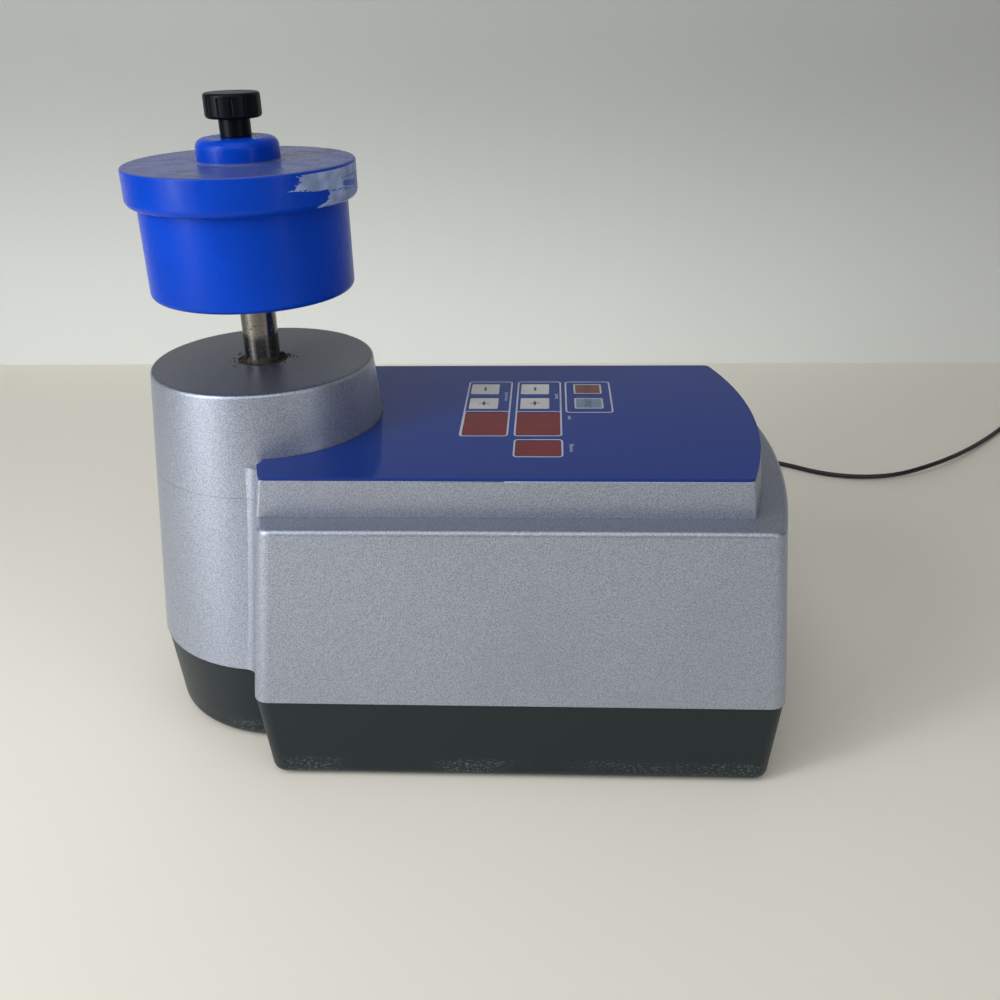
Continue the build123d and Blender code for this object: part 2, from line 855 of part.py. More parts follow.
def toothed_pulley(teeth, pitch_radius, bore, x, phase):
    """A pulley with one trapezoid groove for each tooth, between two flanges."""
    crest = pitch_radius - pitch_line_depth
    band_low = belt_low - channel_gap
    band_high = belt_low + belt_width + channel_gap
    with BuildSketch(level(pulley_bottom)) as flange:
        with Locations((x, 0)):
            Circle(crest + rim_height)
    extrude(flange.sketch, amount=pulley_width)
    with BuildSketch(level(band_low)) as channel:
        with Locations((x, 0)):
            Circle(crest + 2 * rim_height)
            Circle(crest, mode=Mode.SUBTRACT)
    extrude(channel.sketch, amount=band_high - band_low, mode=Mode.SUBTRACT)
    with BuildSketch(level(band_low)) as grooves:
        with Locations((x, 0)):
            with PolarLocations(crest, teeth, start_angle=phase):
                Polygon(
                    (-groove_depth, -groove_floor / 2),
                    (groove_over, -groove_mouth / 2),
                    (groove_over, groove_mouth / 2),
                    (-groove_depth, groove_floor / 2),
                    align=None,
                )
    extrude(grooves.sketch, amount=band_high - band_low, mode=Mode.SUBTRACT)
    posts([(x, 0)], bore, pulley_bottom, pulley_top, mode=Mode.SUBTRACT)


lightening_radius = 9.0
with BuildPart() as driven_pulley:
    toothed_pulley(driven_teeth, driven_pitch_radius, pulley_seat_radius + fit_gap, 0, 180)
    hub_keyway = (pulley_seat_radius - 1, pulley_seat_radius + key_rise + 0.1)
    slab(hub_keyway, (-key_half, key_half), pulley_bottom, pulley_top, mode=Mode.SUBTRACT)
    lightening = around(5, driven_pitch_radius * 0.63)
    posts(lightening, lightening_radius, pulley_bottom, pulley_top, mode=Mode.SUBTRACT)
    # The hub reaches up to the lower bearing
    ring(journal_radius + fit_gap, sleeve_radius, pulley_top, lower_bearing)
keep(driven_pulley, "driven_pulley")

with BuildPart() as motor_pulley:
    rotor_bore = rotor_shaft_radius + fit_gap
    toothed_pulley(motor_teeth, motor_pitch_radius, rotor_bore, motor_x, 180 / motor_teeth)
keep(motor_pulley, "motor_pulley")


def belt_loop(depth):
    """The belt's closed loop at this distance outside its pitch line."""
    lean = math.asin((driven_pitch_radius - motor_pitch_radius) / motor_x)
    big = driven_pitch_radius + depth
    small = motor_pitch_radius + depth
    off = Vector(math.sin(lean), math.cos(lean))
    down = Vector(off.X, -off.Y)
    motor = Vector(motor_x, 0)
    with BuildSketch(level(belt_low)) as loop:
        with BuildLine():
            ThreePointArc(off * big, (-big, 0), down * big)
            Line(down * big, motor + down * small)
            ThreePointArc(motor + down * small, (motor_x + small, 0), motor + off * small)
            Line(motor + off * small, off * big)
        make_face()
    return loop.sketch


def belt_place(distance):
    """Point and inward angle on the pitch line, this far from the left end, clockwise on top."""
    lean = math.asin((driven_pitch_radius - motor_pitch_radius) / motor_x)
    big_wrap = (math.pi / 2 + lean) * driven_pitch_radius
    span = motor_x * math.cos(lean)
    if distance <= big_wrap:
        angle = math.pi - distance / driven_pitch_radius
        return driven_pitch_radius * math.cos(angle), driven_pitch_radius * math.sin(angle), angle
    angle = math.pi / 2 - lean
    if distance <= big_wrap + span:
        along = distance - big_wrap
        x = driven_pitch_radius * math.cos(angle) + along * math.sin(angle)
        y = driven_pitch_radius * math.sin(angle) - along * math.cos(angle)
        return x, y, angle
    angle -= (distance - big_wrap - span) / motor_pitch_radius
    return motor_x + motor_pitch_radius * math.cos(angle), motor_pitch_radius * math.sin(angle), angle


def tooth_places():
    """Where the belt's teeth stand on its pitch line, each turned to face outwards."""
    places = []
    for i in range(belt_teeth):
        distance = i * belt_pitch
        side = 1 if distance <= belt_teeth * belt_pitch / 2 else -1
        x, y, angle = belt_place(distance if side > 0 else belt_teeth * belt_pitch - distance)
        places.append(Location((x, side * y, 0), (0, 0, side * math.degrees(angle))))
    return places


with BuildPart() as drive_belt:
    extrude(belt_loop(belt_back - pitch_line_depth), amount=belt_width)
    extrude(belt_loop(-pitch_line_depth + 0.05), amount=belt_width, mode=Mode.SUBTRACT)
    tooth_top = -pitch_line_depth + 0.1
    with BuildSketch(level(belt_low)) as teeth:
        with Locations(*tooth_places()):
            Polygon(
                (tooth_top, -tooth_root / 2),
                (tooth_top, tooth_root / 2),
                (-pitch_line_depth - belt_tooth_height, tooth_tip / 2),
                (-pitch_line_depth - belt_tooth_height, -tooth_tip / 2),
                align=None,
            )
    extrude(teeth.sketch, amount=belt_width)
keep(drive_belt, "drive_belt")

# ------------------------------------------------------------------ motor
motor_bottom = plate_top
motor_flange = 9.0
motor_flange_half = motor_radius - 2.0
motor_flange_top = motor_bottom + motor_flange
motor_top = motor_bottom + motor_length
motor_bolt_radius = 2.4
stack_low = motor_bottom + 22
stack_high = motor_top - 20
bush_radius = 11.0
bush_height = 10.0
bush_boss_radius = bush_radius + 4.0
bush_boss_height = 5.0
lower_bush = motor_flange_top + bush_boss_height - bush_height
shaft_clearance = rotor_shaft_radius + 1.0
with BuildPart() as motor_housing:
    flange_x = (motor_x - motor_flange_half, motor_x + motor_flange_half)
    flange_y = (-motor_flange_half, motor_flange_half)
    slab(flange_x, flange_y, motor_bottom, motor_flange_top, corner=12)
    ring(motor_radius - motor_wall, motor_radius, motor_flange_top - 1, motor_top, motor_axis)
    ring(0, bush_boss_radius, motor_bottom, motor_flange_top + bush_boss_height, motor_axis)
    ring(0, bush_radius, lower_bush, lower_bush + bush_height, motor_axis, mode=Mode.SUBTRACT)
    ring(0, shaft_clearance, motor_bottom, lower_bush, motor_axis, mode=Mode.SUBTRACT)
    bolt_bore = motor_bolt_radius + 0.1
    posts(motor_bolt_places, bolt_bore, motor_bottom, motor_flange_top, mode=Mode.SUBTRACT)
keep(motor_housing, "motor_housing")

cap_thickness = 6.0
cap_top = motor_top + cap_thickness
cap_boss_top = cap_top + 6.0
vent_count = 8
vent_radius = 6.0
vent_reach = 30.0
with BuildPart() as motor_end_cap:
    ring(0, motor_radius, motor_top, cap_top, motor_axis)
    ring(0, bush_boss_radius, cap_top, cap_boss_top, motor_axis)
    ring(0, bush_radius, motor_top, motor_top + bush_height, motor_axis, mode=Mode.SUBTRACT)
    ring(0, shaft_clearance, motor_top, cap_boss_top, motor_axis, mode=Mode.SUBTRACT)
    vents = around(vent_count, vent_reach, 0, motor_x)
    posts(vents, vent_radius, motor_top, cap_top, mode=Mode.SUBTRACT)
keep(motor_end_cap, "motor_end_cap")

with BuildPart() as motor_bolts:
    screws(
        motor_bolt_places,
        shank=motor_bolt_radius,
        head=4.2,
        tip=motor_flange_top - 2,
        seat=plate_bottom,
        head_height=4.0,
        socket=2.5,
        down=True,
    )
keep(motor_bolts, "motor_bolts")

with BuildPart() as motor_bushes:
    for bottom in (lower_bush, motor_top):
        top = bottom + bush_height
        ring(rotor_shaft_radius + running_gap, bush_radius - fit_gap, bottom, top, motor_axis)
keep(motor_bushes, "motor_bushes")

stator_slots = 12
stator_slot_radius = 3.2
stator_slot_reach = rotor_radius + 6.0
stator_mouth = (5.0, 1.6)
with BuildPart() as motor_stator:
    stator_radius = motor_radius - motor_wall - fit_gap
    ring(rotor_radius + air_gap, stator_radius, stack_low, stack_high, motor_axis)
    # Twelve slots, each opening into the bore
    slots = around(stator_slots, stator_slot_reach, 0, motor_x)
    posts(slots, stator_slot_radius, stack_low, stack_high, mode=Mode.SUBTRACT)
    for x, y in around(stator_slots, rotor_radius + 2):
        turn = math.degrees(math.atan2(y, x))
        with BuildSketch(level(stack_low)) as mouth:
            with Locations(Location((motor_x + x, y, 0), (0, 0, turn))):
                Rectangle(*stator_mouth)
        extrude(mouth.sketch, amount=stack_high - stack_low, mode=Mode.SUBTRACT)
keep(motor_stator, "motor_stator")

fan_low = cap_boss_top + 2.0
fan_high = fan_low + 14.0
fan_hub_radius = 11.0
fan_disc_thickness = 1.5
blade_root = fan_hub_radius - 1.0
blade_thickness = 1.6
with BuildPart() as motor_rotor:
    ring(0, rotor_shaft_radius, pulley_bottom, fan_high, motor_axis)
    ring(0, rotor_radius, stack_low, stack_high, motor_axis)
keep(motor_rotor, "motor_rotor")

with BuildPart() as cooling_fan:
    ring(0, fan_hub_radius, fan_low, fan_high, motor_axis)
    ring(0, fan_radius, fan_low, fan_low + fan_disc_thickness, motor_axis)
    for x, y in around(fan_blades, (fan_radius + blade_root) / 2):
        turn = math.degrees(math.atan2(y, x))
        with BuildSketch(level(fan_low)) as blade:
            with Locations(Location((motor_x + x, y, 0), (0, 0, turn))):
                Rectangle(fan_radius - blade_root, blade_thickness)
        extrude(blade.sketch, amount=fan_high - fan_low)
    ring(0, rotor_bore, fan_low, fan_high, motor_axis, mode=Mode.SUBTRACT)
keep(cooling_fan, "cooling_fan")

# ------------------------------------------------------------------ electronics
control_right = box_reach - 49.0
control_left = control_right - 86.0
control_half_width = 72.0
control_x = (control_left, control_right)
control_y = (-control_half_width, control_half_width)
standoff_height = 10.0
standoff_radius = 4.0
control_low = plate_top + standoff_height
control_high = control_low + board_thickness
control_places = corners(control_x, control_y, 5.0)
board_hole = board_screw_radius + bolt_gap
with BuildPart() as control_board:
    slab(control_x, control_y, control_low, control_high, corner=2)
    posts(control_places, board_hole, control_low, control_high, mode=Mode.SUBTRACT)
keep(control_board, "control_board")

with BuildPart() as board_standoffs:
    with BuildSketch(level(plate_top)) as hexes:
        with Locations(*control_places):
            RegularPolygon(standoff_radius, 6)
            Circle(board_screw_radius + running_gap, mode=Mode.SUBTRACT)
    extrude(hexes.sketch, amount=standoff_height)
keep(board_standoffs, "board_standoffs")

board_underside = board_top - board_thickness
with BuildPart() as board_screws:
    for places, tip, seat, down in (
        (control_places, control_low - 6, control_high, False),
        (board_screw_places, deck_bottom - 2, board_underside, True),
    ):
        screws(
            places,
            shank=board_screw_radius,
            head=2.8,
            tip=tip,
            seat=seat,
            head_height=2.4,
            socket=1.3,
            down=down,
        )
keep(board_screws, "board_screws")


def on_board(x, y, low, high, corner=0.0, mode=Mode.ADD):
    """A block on the control board: x from the board's left edge, heights from its face."""
    left, right = (control_left + edge for edge in x)
    slab((left, right), y, control_high + low, control_high + high, corner, mode)


with BuildPart() as transformer:
    on_board((10, 64), (-62, -18), 0, 38, corner=1.5)
    on_board((18, 56), (-68, -12), 4, 34, corner=5)
keep(transformer, "transformer")

sink_x = (8.0, 78.0)
sink_y = (34.0, 38.0, 60.0)
sink_height = 45.0
fin_count = 8
fin_thickness = 2.2
fin_pitch = 9.4
with BuildPart() as heat_sink:
    on_board(sink_x, sink_y[:2], 0, sink_height)
    for i in range(fin_count):
        fin_x = sink_x[0] + i * fin_pitch
        on_board((fin_x, fin_x + fin_thickness), sink_y[1:], 0, sink_height)
keep(heat_sink, "heat_sink")

capacitor_places = [(control_left + 22, 10), (control_left + 46, 10)]
capacitor_radius = 9.0
capacitor_height = 32.0
with BuildPart() as filter_capacitors:
    posts(capacitor_places, capacitor_radius, control_high, control_high + capacitor_height)
    fillet(filter_capacitors.edges().group_by(Axis.Z)[-1], 1.2)
keep(filter_capacitors, "filter_capacitors")

terminal_height = 12.0
terminal_places = [(control_left + 71, 8), (control_left + 71, 20)]
with BuildPart() as terminal_block:
    on_board((62, 80), (2, 26), 0, terminal_height)
    terminal_top = control_high + terminal_height
    posts(terminal_places, 2.2, terminal_top - 4, terminal_top, mode=Mode.SUBTRACT)
keep(terminal_block, "terminal_block")

# ------------------------------------------------------------------ control panel
with BuildPart() as control_panel:
    edge = Outline(
        deck_height,
        block_top.left - panel_overhang,
        block_top.right + panel_overhang,
        block_top.half_width + panel_overhang,
        block_top.left_bow,
        block_top.right_bow,
        panel_corner,
    )
    extrude(edge.face(), amount=panel_thickness)
    # Cut round the tower, and the bevelled corners where that cut meets the left end
    tower_cut = tower_radius(deck_height) + panel_tower_gap
    ring(0, tower_cut, deck_height, panel_top, mode=Mode.SUBTRACT)
    for side in (1, -1):
        with BuildSketch(level(deck_height)) as bevel:
            (outer_x, outer_y), (inner_x, inner_y) = panel_bevel
            bevel_points = [(0, outer_y), (outer_x, outer_y), (inner_x, inner_y), (0, inner_y)]
            Polygon(*[(x, side * y) for x, y in bevel_points], align=None)
        extrude(bevel.sketch, amount=panel_thickness, mode=Mode.SUBTRACT)
    half = key_size / 2 + key_gap
    for place in key_places.values():
        slab(*square(place, half), deck_height, panel_top, key_corner, Mode.SUBTRACT)
    for place, (length, width) in window_places.values():
        opening = square(place, length / 2, width / 2)
        slab(*opening, deck_height, panel_top, window_corner, Mode.SUBTRACT)
keep(control_panel, "control_panel")

with BuildPart() as display_board:
    slab(board_x, board_y, board_underside, board_top, corner=2)
    posts(board_screw_places, board_hole, board_underside, board_top, mode=Mode.SUBTRACT)
keep(display_board, "display_board")

switch_top = board_top + switch_height
with BuildPart() as key_switches:
    for place in key_places.values():
        slab(*square(place, switch_size / 2), board_top, switch_top, corner=1)
keep(key_switches, "key_switches")

flange_bottom = rest_of_key - key_flange_thickness
stem_radius = 3.0
stem_gap = 0.1
for label, place in key_places.items():
    with BuildPart() as key:
        half = key_size / 2
        cap_corner = key_corner - key_gap
        slab(*square(place, half), flange_bottom, panel_top + key_proud, cap_corner)
        slab(*square(place, half + key_flange), flange_bottom, rest_of_key, key_corner)
        posts([place], stem_radius, switch_top + key_travel + stem_gap, flange_bottom)
    keep(key, label)

for label, (place, (length, width)) in window_places.items():
    with BuildPart() as window:
        pane = square(place, length / 2 - window_gap, width / 2 - window_gap)
        slab(*pane, deck_height, panel_top - window_recess, window_corner - window_gap)
    keep(window, label)

# One digit module behind each window
module_inset = 2.0
module_gap = 0.3
with BuildPart() as display_modules:
    for place, (length, width) in window_places.values():
        module = square(place, length / 2 - module_inset, width / 2 - module_inset)
        slab(*module, board_top, deck_height - module_gap)
keep(display_modules, "display_modules")

# ------------------------------------------------------------------ ribbon cable, held all the way
ribbon_width = 16.0
ribbon_thickness = 0.9
ribbon_y = -2.0
ribbon_x = 240.0
ribbon_bend = 9.0
ribbon_fall = board_underside - control_high
ribbon_plug_x = control_left + 34.0
with BuildPart() as ribbon_cable:
    with BuildLine(Plane(at(0, ribbon_y, 0), x_dir=(1, 0, 0), z_dir=(0, -1, 0))) as ribbon_path:
        FilletPolyline(
            (ribbon_x, board_underside),
            (ribbon_x, board_underside - 0.44 * ribbon_fall),
            (ribbon_x + 0.47 * (ribbon_plug_x - ribbon_x), board_underside - 0.66 * ribbon_fall),
            (ribbon_plug_x, control_high + 0.25 * ribbon_fall),
            (ribbon_plug_x, control_high),
            radius=ribbon_bend,
        )
    with BuildSketch(Plane(at(ribbon_x, ribbon_y, board_underside), x_dir=(1, 0, 0), z_dir=(0, 0, -1))):
        Rectangle(ribbon_thickness, ribbon_width)
    sweep(path=ribbon_path.line)
keep(ribbon_cable, "ribbon_cable")

# ------------------------------------------------------------------ drum
drum_inner = drum_radius - drum_wall
drum_floor_top = drum_bottom + drum_floor
boss_top = drum_floor_top + drum_boss_height
with BuildPart() as drum_pot:
    turned(
        [
            (spigot_radius + fit_gap, drum_bottom),
            (drum_radius, drum_bottom),
            (drum_radius, drum_rim),
            (drum_inner, drum_rim),
            (drum_inner, drum_floor_top),
            (drum_boss_radius, drum_floor_top),
            (drum_boss_radius, boss_top),
            (spigot_radius + fit_gap, boss_top),
        ],
        rounds=[
            (drum_radius, drum_bottom, drum_foot_round),
            (drum_inner, drum_floor_top, 5.0),
            (drum_boss_radius, boss_top, 1.0),
        ],
    )
keep(drum_pot, "drum_pot")

nut_flange_thickness = 1.5
nut_flange_radius = spigot_radius + 7.5
nut_flange_top = boss_top + nut_flange_thickness
nut_top = nut_flange_top + 8.5
nut_across_flats = 2 * spigot_radius + 10.0
nut_inner = nut_across_flats / 2 + 0.2
nut_outer = nut_inner + 3.8
nut_chamfer = 2.2
with BuildPart() as drum_nut:
    with BuildSketch(level(nut_flange_top)) as nut:
        RegularPolygon(nut_across_flats / 2, 6, major_radius=False)
    extrude(nut.sketch, amount=nut_top - nut_flange_top)
    # Corners turned off
    corner = [(nut_inner, nut_top), (nut_outer, nut_top), (nut_outer, nut_top - nut_chamfer)]
    turned(corner, mode=Mode.SUBTRACT)
    ring(0, nut_flange_radius, boss_top, nut_flange_top)
    ring(0, spigot_radius + fit_gap, boss_top, nut_top, mode=Mode.SUBTRACT)
keep(drum_nut, "drum_nut")

with BuildPart() as tie_rod:
    ring(0, tie_rod_radius, spigot_top - rod_bore_depth + 2, tie_rod_top)
    chamfer(tie_rod.edges().group_by(Axis.Z)[-1], 0.8)
keep(tie_rod, "tie_rod")

gasket_top = drum_rim + gasket_thickness
with BuildPart() as lid_gasket:
    ring(drum_inner, drum_radius, drum_rim, gasket_top)
keep(lid_gasket, "lid_gasket")

lid_bore = tie_rod_radius + lid_gap
with BuildPart() as drum_lid:
    turned(
        [
            (lid_bore, gasket_top),
            (drum_radius + lid_gap, gasket_top),
            (drum_radius + lid_gap, lid_skirt_bottom),
            (lid_radius, lid_skirt_bottom),
            (lid_radius, lid_top),
            (lid_hub_radius, lid_top),
            (lid_hub_radius, lid_hub_top),
            (lid_bore, lid_hub_top),
        ],
        rounds=[
            (lid_radius, lid_skirt_bottom, lid_skirt_round),
            (lid_radius, lid_top, 1.5),
            (lid_hub_radius, lid_top, 1.2),
            (lid_hub_radius, lid_hub_top, lid_hub_round),
        ],
    )
keep(drum_lid, "drum_lid")

# ------------------------------------------------------------------ clamp knob
washer_radius = 8.4
washer_gap = 0.2
rod_gap = 0.3
washer_top = lid_hub_top + 1.2
insert_radius = tie_rod_radius + 2.5
insert_bottom = washer_top + 0.8
insert_top = insert_bottom + 15.0
with BuildPart() as knob_washer:
    ring(tie_rod_radius + rod_gap, washer_radius, lid_hub_top, washer_top)
keep(knob_washer, "knob_washer")

with BuildPart() as clamp_knob:
    turned(
        [
            (0, lid_hub_top),
            (knob_neck_radius, lid_hub_top),
            (knob_neck_radius, knob_neck_top),
            (knob_radius, knob_neck_top),
            (knob_radius, knob_top),
            (0, knob_top),
        ],
        rounds=[
            (knob_neck_radius, lid_hub_top, 0.6),
            (knob_neck_radius, knob_neck_top, 0.8),
            (knob_radius, knob_neck_top, knob_round),
            (knob_radius, knob_top, knob_round),
        ],
    )
    # Flutes stop short of both faces, with round ends
    flute_low = knob_neck_top + knob_round + 0.8
    flute_high = knob_top - knob_round - 1.4
    flutes = around(knob_flutes, knob_radius + flute_sink, 90)
    with Locations(*[at(x, y, z) for x, y in flutes for z in (flute_low, flute_high)]):
        Sphere(flute_radius, mode=Mode.SUBTRACT)
    posts(flutes, flute_radius, flute_low, flute_high, mode=Mode.SUBTRACT)
    # Recess for the washer, seat for the insert and room for the rod
    recess_top = washer_top + running_gap
    posts([(0, 0)], washer_radius + washer_gap, lid_hub_top, recess_top, mode=Mode.SUBTRACT)
    posts([(0, 0)], insert_radius, washer_top, insert_top, mode=Mode.SUBTRACT)
    posts([(0, 0)], tie_rod_radius + rod_gap, insert_top, tie_rod_top + 1, mode=Mode.SUBTRACT)
keep(clamp_knob, "clamp_knob")

with BuildPart() as knob_insert:
    ring(tie_rod_radius + running_gap, insert_radius - fit_gap, insert_bottom, insert_top)
keep(knob_insert, "knob_insert")

# ------------------------------------------------------------------ mains lead
cord_diameter = 2 * cord_radius
relief_end = gland_face + relief_length
gland_middle = at(cord_exit_x, 0, cord_exit_height)
gland_nut_length = 5.0
gland_flange_radius = gland_hole_radius + 3.0
gland_flange_thickness = 2.5
gland_stem_radius = gland_hole_radius - bolt_gap
relief_wall = 1.0
relief_rings = 6
relief_pitch = 4.0
relief_slot = 1.4
pad_back = gland_face - pad_depth
nut_back = pad_back - gland_nut_length
relief_start = gland_face + gland_flange_thickness
with BuildPart() as cord_gland:
    with BuildSketch(Plane(gland_middle, x_dir=(0, 1, 0), z_dir=(1, 0, 0))) as gland_profile:
        with BuildLine():
            Polyline(
                (nut_back, 0),
                (nut_back, gland_flange_radius),
                (pad_back, gland_flange_radius),
                (pad_back, gland_stem_radius),
                (gland_face, gland_stem_radius),
                (gland_face, gland_flange_radius),
                (relief_start, gland_flange_radius),
                (relief_start, gland_stem_radius),
                (relief_end, cord_radius + relief_wall),
                (relief_end, 0),
                close=True,
            )
        make_face()
    revolve(gland_profile.sketch, axis=Axis(gland_middle, (0, 1, 0)))
    # Ribs of the bend relief
    for i in range(relief_rings):
        rib_place = at(cord_exit_x, gland_face + relief_pitch * (i + 2), cord_exit_height)
        with BuildSketch(Plane(rib_place, z_dir=(0, 1, 0))) as rib_cut:
            Circle(gland_hole_radius)
            Circle(cord_radius + relief_wall, mode=Mode.SUBTRACT)
        extrude(rib_cut.sketch, amount=relief_slot, mode=Mode.SUBTRACT)
keep(cord_gland, "cord_gland")

# Route of the lead from its relief to its coil: corners of straight runs, from the spindle axis
coil_heading = math.radians(50.0)
along = Vector(math.cos(coil_heading), math.sin(coil_heading))
coil_side = Vector(math.sin(coil_heading), -math.cos(coil_heading))
cord_rest = cord_radius
last_corner = Vector(730.0, 488.0, cord_rest)
coil_lead_in = cord_diameter
route_end = last_corner + along * 60.0
route = [
    (cord_exit_x, relief_end, cord_exit_height),
    (cord_exit_x, 195.0, cord_exit_height),
    (296.0, 240.0, 13.0),
    (303.0, 292.0, cord_rest),
    (318.0, 348.0, cord_rest),
    (350.0, 397.0, cord_rest),
    (399.0, 423.0, cord_rest),
    (456.0, 410.0, cord_rest),
    (509.0, 370.0, cord_rest),
    (571.0, 361.0, 5.0),
    (628.0, 387.0, 9.0),
    (680.0, 433.0, 6.0),
    tuple(last_corner),
    tuple(route_end),
]


def corner_radii(points):
    """Largest arc radius that leaves a straight piece of each run, at every inner corner."""
    radii = []
    for before, corner, after in zip(points, points[1:], points[2:]):
        run_in = Vector(*corner) - Vector(*before)
        run_out = Vector(*after) - Vector(*corner)
        half_turn = math.radians(run_in.get_angle(run_out)) / 2
        radii.append(0.45 * min(run_in.length, run_out.length) / math.tan(half_turn))
    return radii


route_points = [at(*place) for place in route]
route_radii = corner_radii(route_points)
print("cord corner radii", [round(radius) for radius in route_radii])
cord_start = Vector(*route_points[0])
with BuildPart() as cord:
    with BuildLine() as cord_line:
        FilletPolyline(*route_points, radius=route_radii)
    with BuildSketch(Plane(cord_start, z_dir=Vector(*route_points[1]) - cord_start)):
        Circle(cord_radius)
    sweep(path=cord_line.wires()[0])
keep(cord, "cord")
cord_length = cord_line.wires()[0].length
section_volume = cord_length * math.pi * cord_radius**2
print("cord volume", round(cord.part.volume), "of", round(section_volume), "length", round(cord_length))

# The put-away length: a spiral inwards on the table, then one outwards on top of it
coil_centre = route_end + along * coil_lead_in + coil_side * coil_outer_radius
layer_heights = (cord_rest, cord_rest + coil_pitch)
inward_stops = [
    (-1) ** half * (coil_outer_radius - half // 2 * coil_pitch)
    for half in range(2 * coil_turns_per_layer + 1)
]
outward_stops = [-stop for stop in reversed(inward_stops)]
plug_lead = 25.0


def coil_point(side, forward, height):
    """A point of the coil: sideways and forward from its middle."""
    place = coil_centre - coil_side * side + along * forward
    return Vector(*at(place.X, place.Y, height))


coil_start = coil_point(inward_stops[0], -coil_lead_in, layer_heights[0])
with BuildPart() as cord_coil:
    with BuildLine() as coil_line:
        Line(coil_start, coil_point(inward_stops[0], 0, layer_heights[0]))
        for stops, height in zip((inward_stops, outward_stops), layer_heights):
            for start, stop in zip(stops, stops[1:]):
                heading = along * math.copysign(1, start)
                TangentArc(coil_point(start, 0, height), coil_point(stop, 0, height), tangent=heading)
            if height == layer_heights[0]:
                # The climbing half turn, as two quarter arcs on tilted planes
                low = coil_point(stops[-1], 0, height)
                high = coil_point(-stops[-1], 0, layer_heights[1])
                reach = (high - low).length / 2
                crest = (low + high) / 2 + along * reach
                TangentArc(low, crest, tangent=along)
                TangentArc(crest, high, tangent=high - low)
        exit_stop = outward_stops[-1]
        coil_end = coil_point(exit_stop, -plug_lead, layer_heights[1])
        Line(coil_point(exit_stop, 0, layer_heights[1]), coil_end)
    with BuildSketch(Plane(coil_start, z_dir=along)):
        Circle(cord_radius)
    sweep(path=coil_line.wires()[0])
keep(cord_coil, "cord_coil")


def least_gap(wire, diameter, step=2.0):
    """Least clear distance between parts of a winding that are more than half a turn apart."""
    count = int(wire.length / step)
    points = [wire.position_at(i / count) for i in range(count + 1)]
    skip = int(math.pi * coil_outer_radius / 2 / step)
    nearest = min(
        (points[i] - points[j]).length for i in range(count + 1) for j in range(i + skip, count + 1)
    )
    return nearest - diameter


coil_wire = coil_line.wires()[0]
coil_gap = least_gap(coil_wire, cord_diameter)
print("coil least gap", round(coil_gap, 2), "length", round(coil_wire.length))

# Flat two-pin plug, lying beside the coil
plug_relief = 15.0
plug_length = 35.0
plug_width = 36.0
plug_height = 2 * layer_heights[1]
plug_pin_radius = 2.0
plug_pin_length = 19.0
plug_pin_spacing = 18.6
plug_sleeve_walls = (1.2, 2.6)
plug_neck = (17.0, 13.0)
plug_grip_width = 28.0
plug_corner = 5.0


def plug_plane(distance):
    """A plane square to the plug, this far from where the lead enters it."""
    origin = coil_point(exit_stop, -plug_lead - distance, layer_heights[1])
    return Plane(origin, x_dir=coil_side, z_dir=-along)


with BuildPart() as plug:
    with BuildSketch(plug_plane(0)) as relief_start:
        Circle(cord_radius + plug_sleeve_walls[0])
    with BuildSketch(plug_plane(plug_relief)) as relief_stop:
        Circle(cord_radius + plug_sleeve_walls[1])
    loft([relief_start.sketch, relief_stop.sketch], ruled=True)
    with BuildSketch(plug_plane(plug_relief)) as shoulder_face:
        RectangleRounded(*plug_neck, plug_corner)
    with BuildSketch(plug_plane(plug_relief + plug_length / 2)) as grip_face:
        RectangleRounded(plug_grip_width, plug_height, plug_corner)
    with BuildSketch(plug_plane(plug_relief + plug_length)) as pin_face:
        RectangleRounded(plug_width, plug_height, plug_corner)
    loft([shoulder_face.sketch, grip_face.sketch, pin_face.sketch], ruled=True)
    with BuildSketch(plug_plane(plug_relief + plug_length)) as pins:
        with Locations((-plug_pin_spacing / 2, 0), (plug_pin_spacing / 2, 0)):
            Circle(plug_pin_radius)
    extrude(pins.sketch, amount=plug_pin_length)
keep(plug, "plug")
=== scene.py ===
"""Looks of the analytical lab mill: finishes, keypad print, mains lead, camera and light.

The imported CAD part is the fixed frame. Metres, +Z up, in the part's own frame.
"""

import json
import logging
import math
import random
from collections.abc import Iterable
from dataclasses import dataclass
from enum import Enum

import bpy
from mathutils import Matrix, Vector

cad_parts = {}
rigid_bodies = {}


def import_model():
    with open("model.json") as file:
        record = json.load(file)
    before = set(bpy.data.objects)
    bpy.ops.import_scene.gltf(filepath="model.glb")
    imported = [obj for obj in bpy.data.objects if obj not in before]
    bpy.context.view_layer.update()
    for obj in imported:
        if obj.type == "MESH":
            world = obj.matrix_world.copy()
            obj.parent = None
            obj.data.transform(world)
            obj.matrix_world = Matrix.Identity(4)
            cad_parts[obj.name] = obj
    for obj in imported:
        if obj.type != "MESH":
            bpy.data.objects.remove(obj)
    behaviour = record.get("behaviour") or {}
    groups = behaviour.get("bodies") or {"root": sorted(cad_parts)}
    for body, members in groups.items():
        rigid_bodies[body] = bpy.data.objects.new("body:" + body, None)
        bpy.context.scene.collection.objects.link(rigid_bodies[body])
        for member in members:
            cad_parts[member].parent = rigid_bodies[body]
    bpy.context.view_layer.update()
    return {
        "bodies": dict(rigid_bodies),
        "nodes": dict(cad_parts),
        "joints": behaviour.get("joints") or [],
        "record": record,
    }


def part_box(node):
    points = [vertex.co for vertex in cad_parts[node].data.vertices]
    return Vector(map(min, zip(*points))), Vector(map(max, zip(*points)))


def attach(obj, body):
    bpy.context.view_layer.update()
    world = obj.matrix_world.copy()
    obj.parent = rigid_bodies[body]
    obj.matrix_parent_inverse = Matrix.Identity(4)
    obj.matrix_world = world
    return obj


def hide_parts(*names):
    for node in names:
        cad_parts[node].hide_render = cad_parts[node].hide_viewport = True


LOG = logging.getLogger("lab_mill")

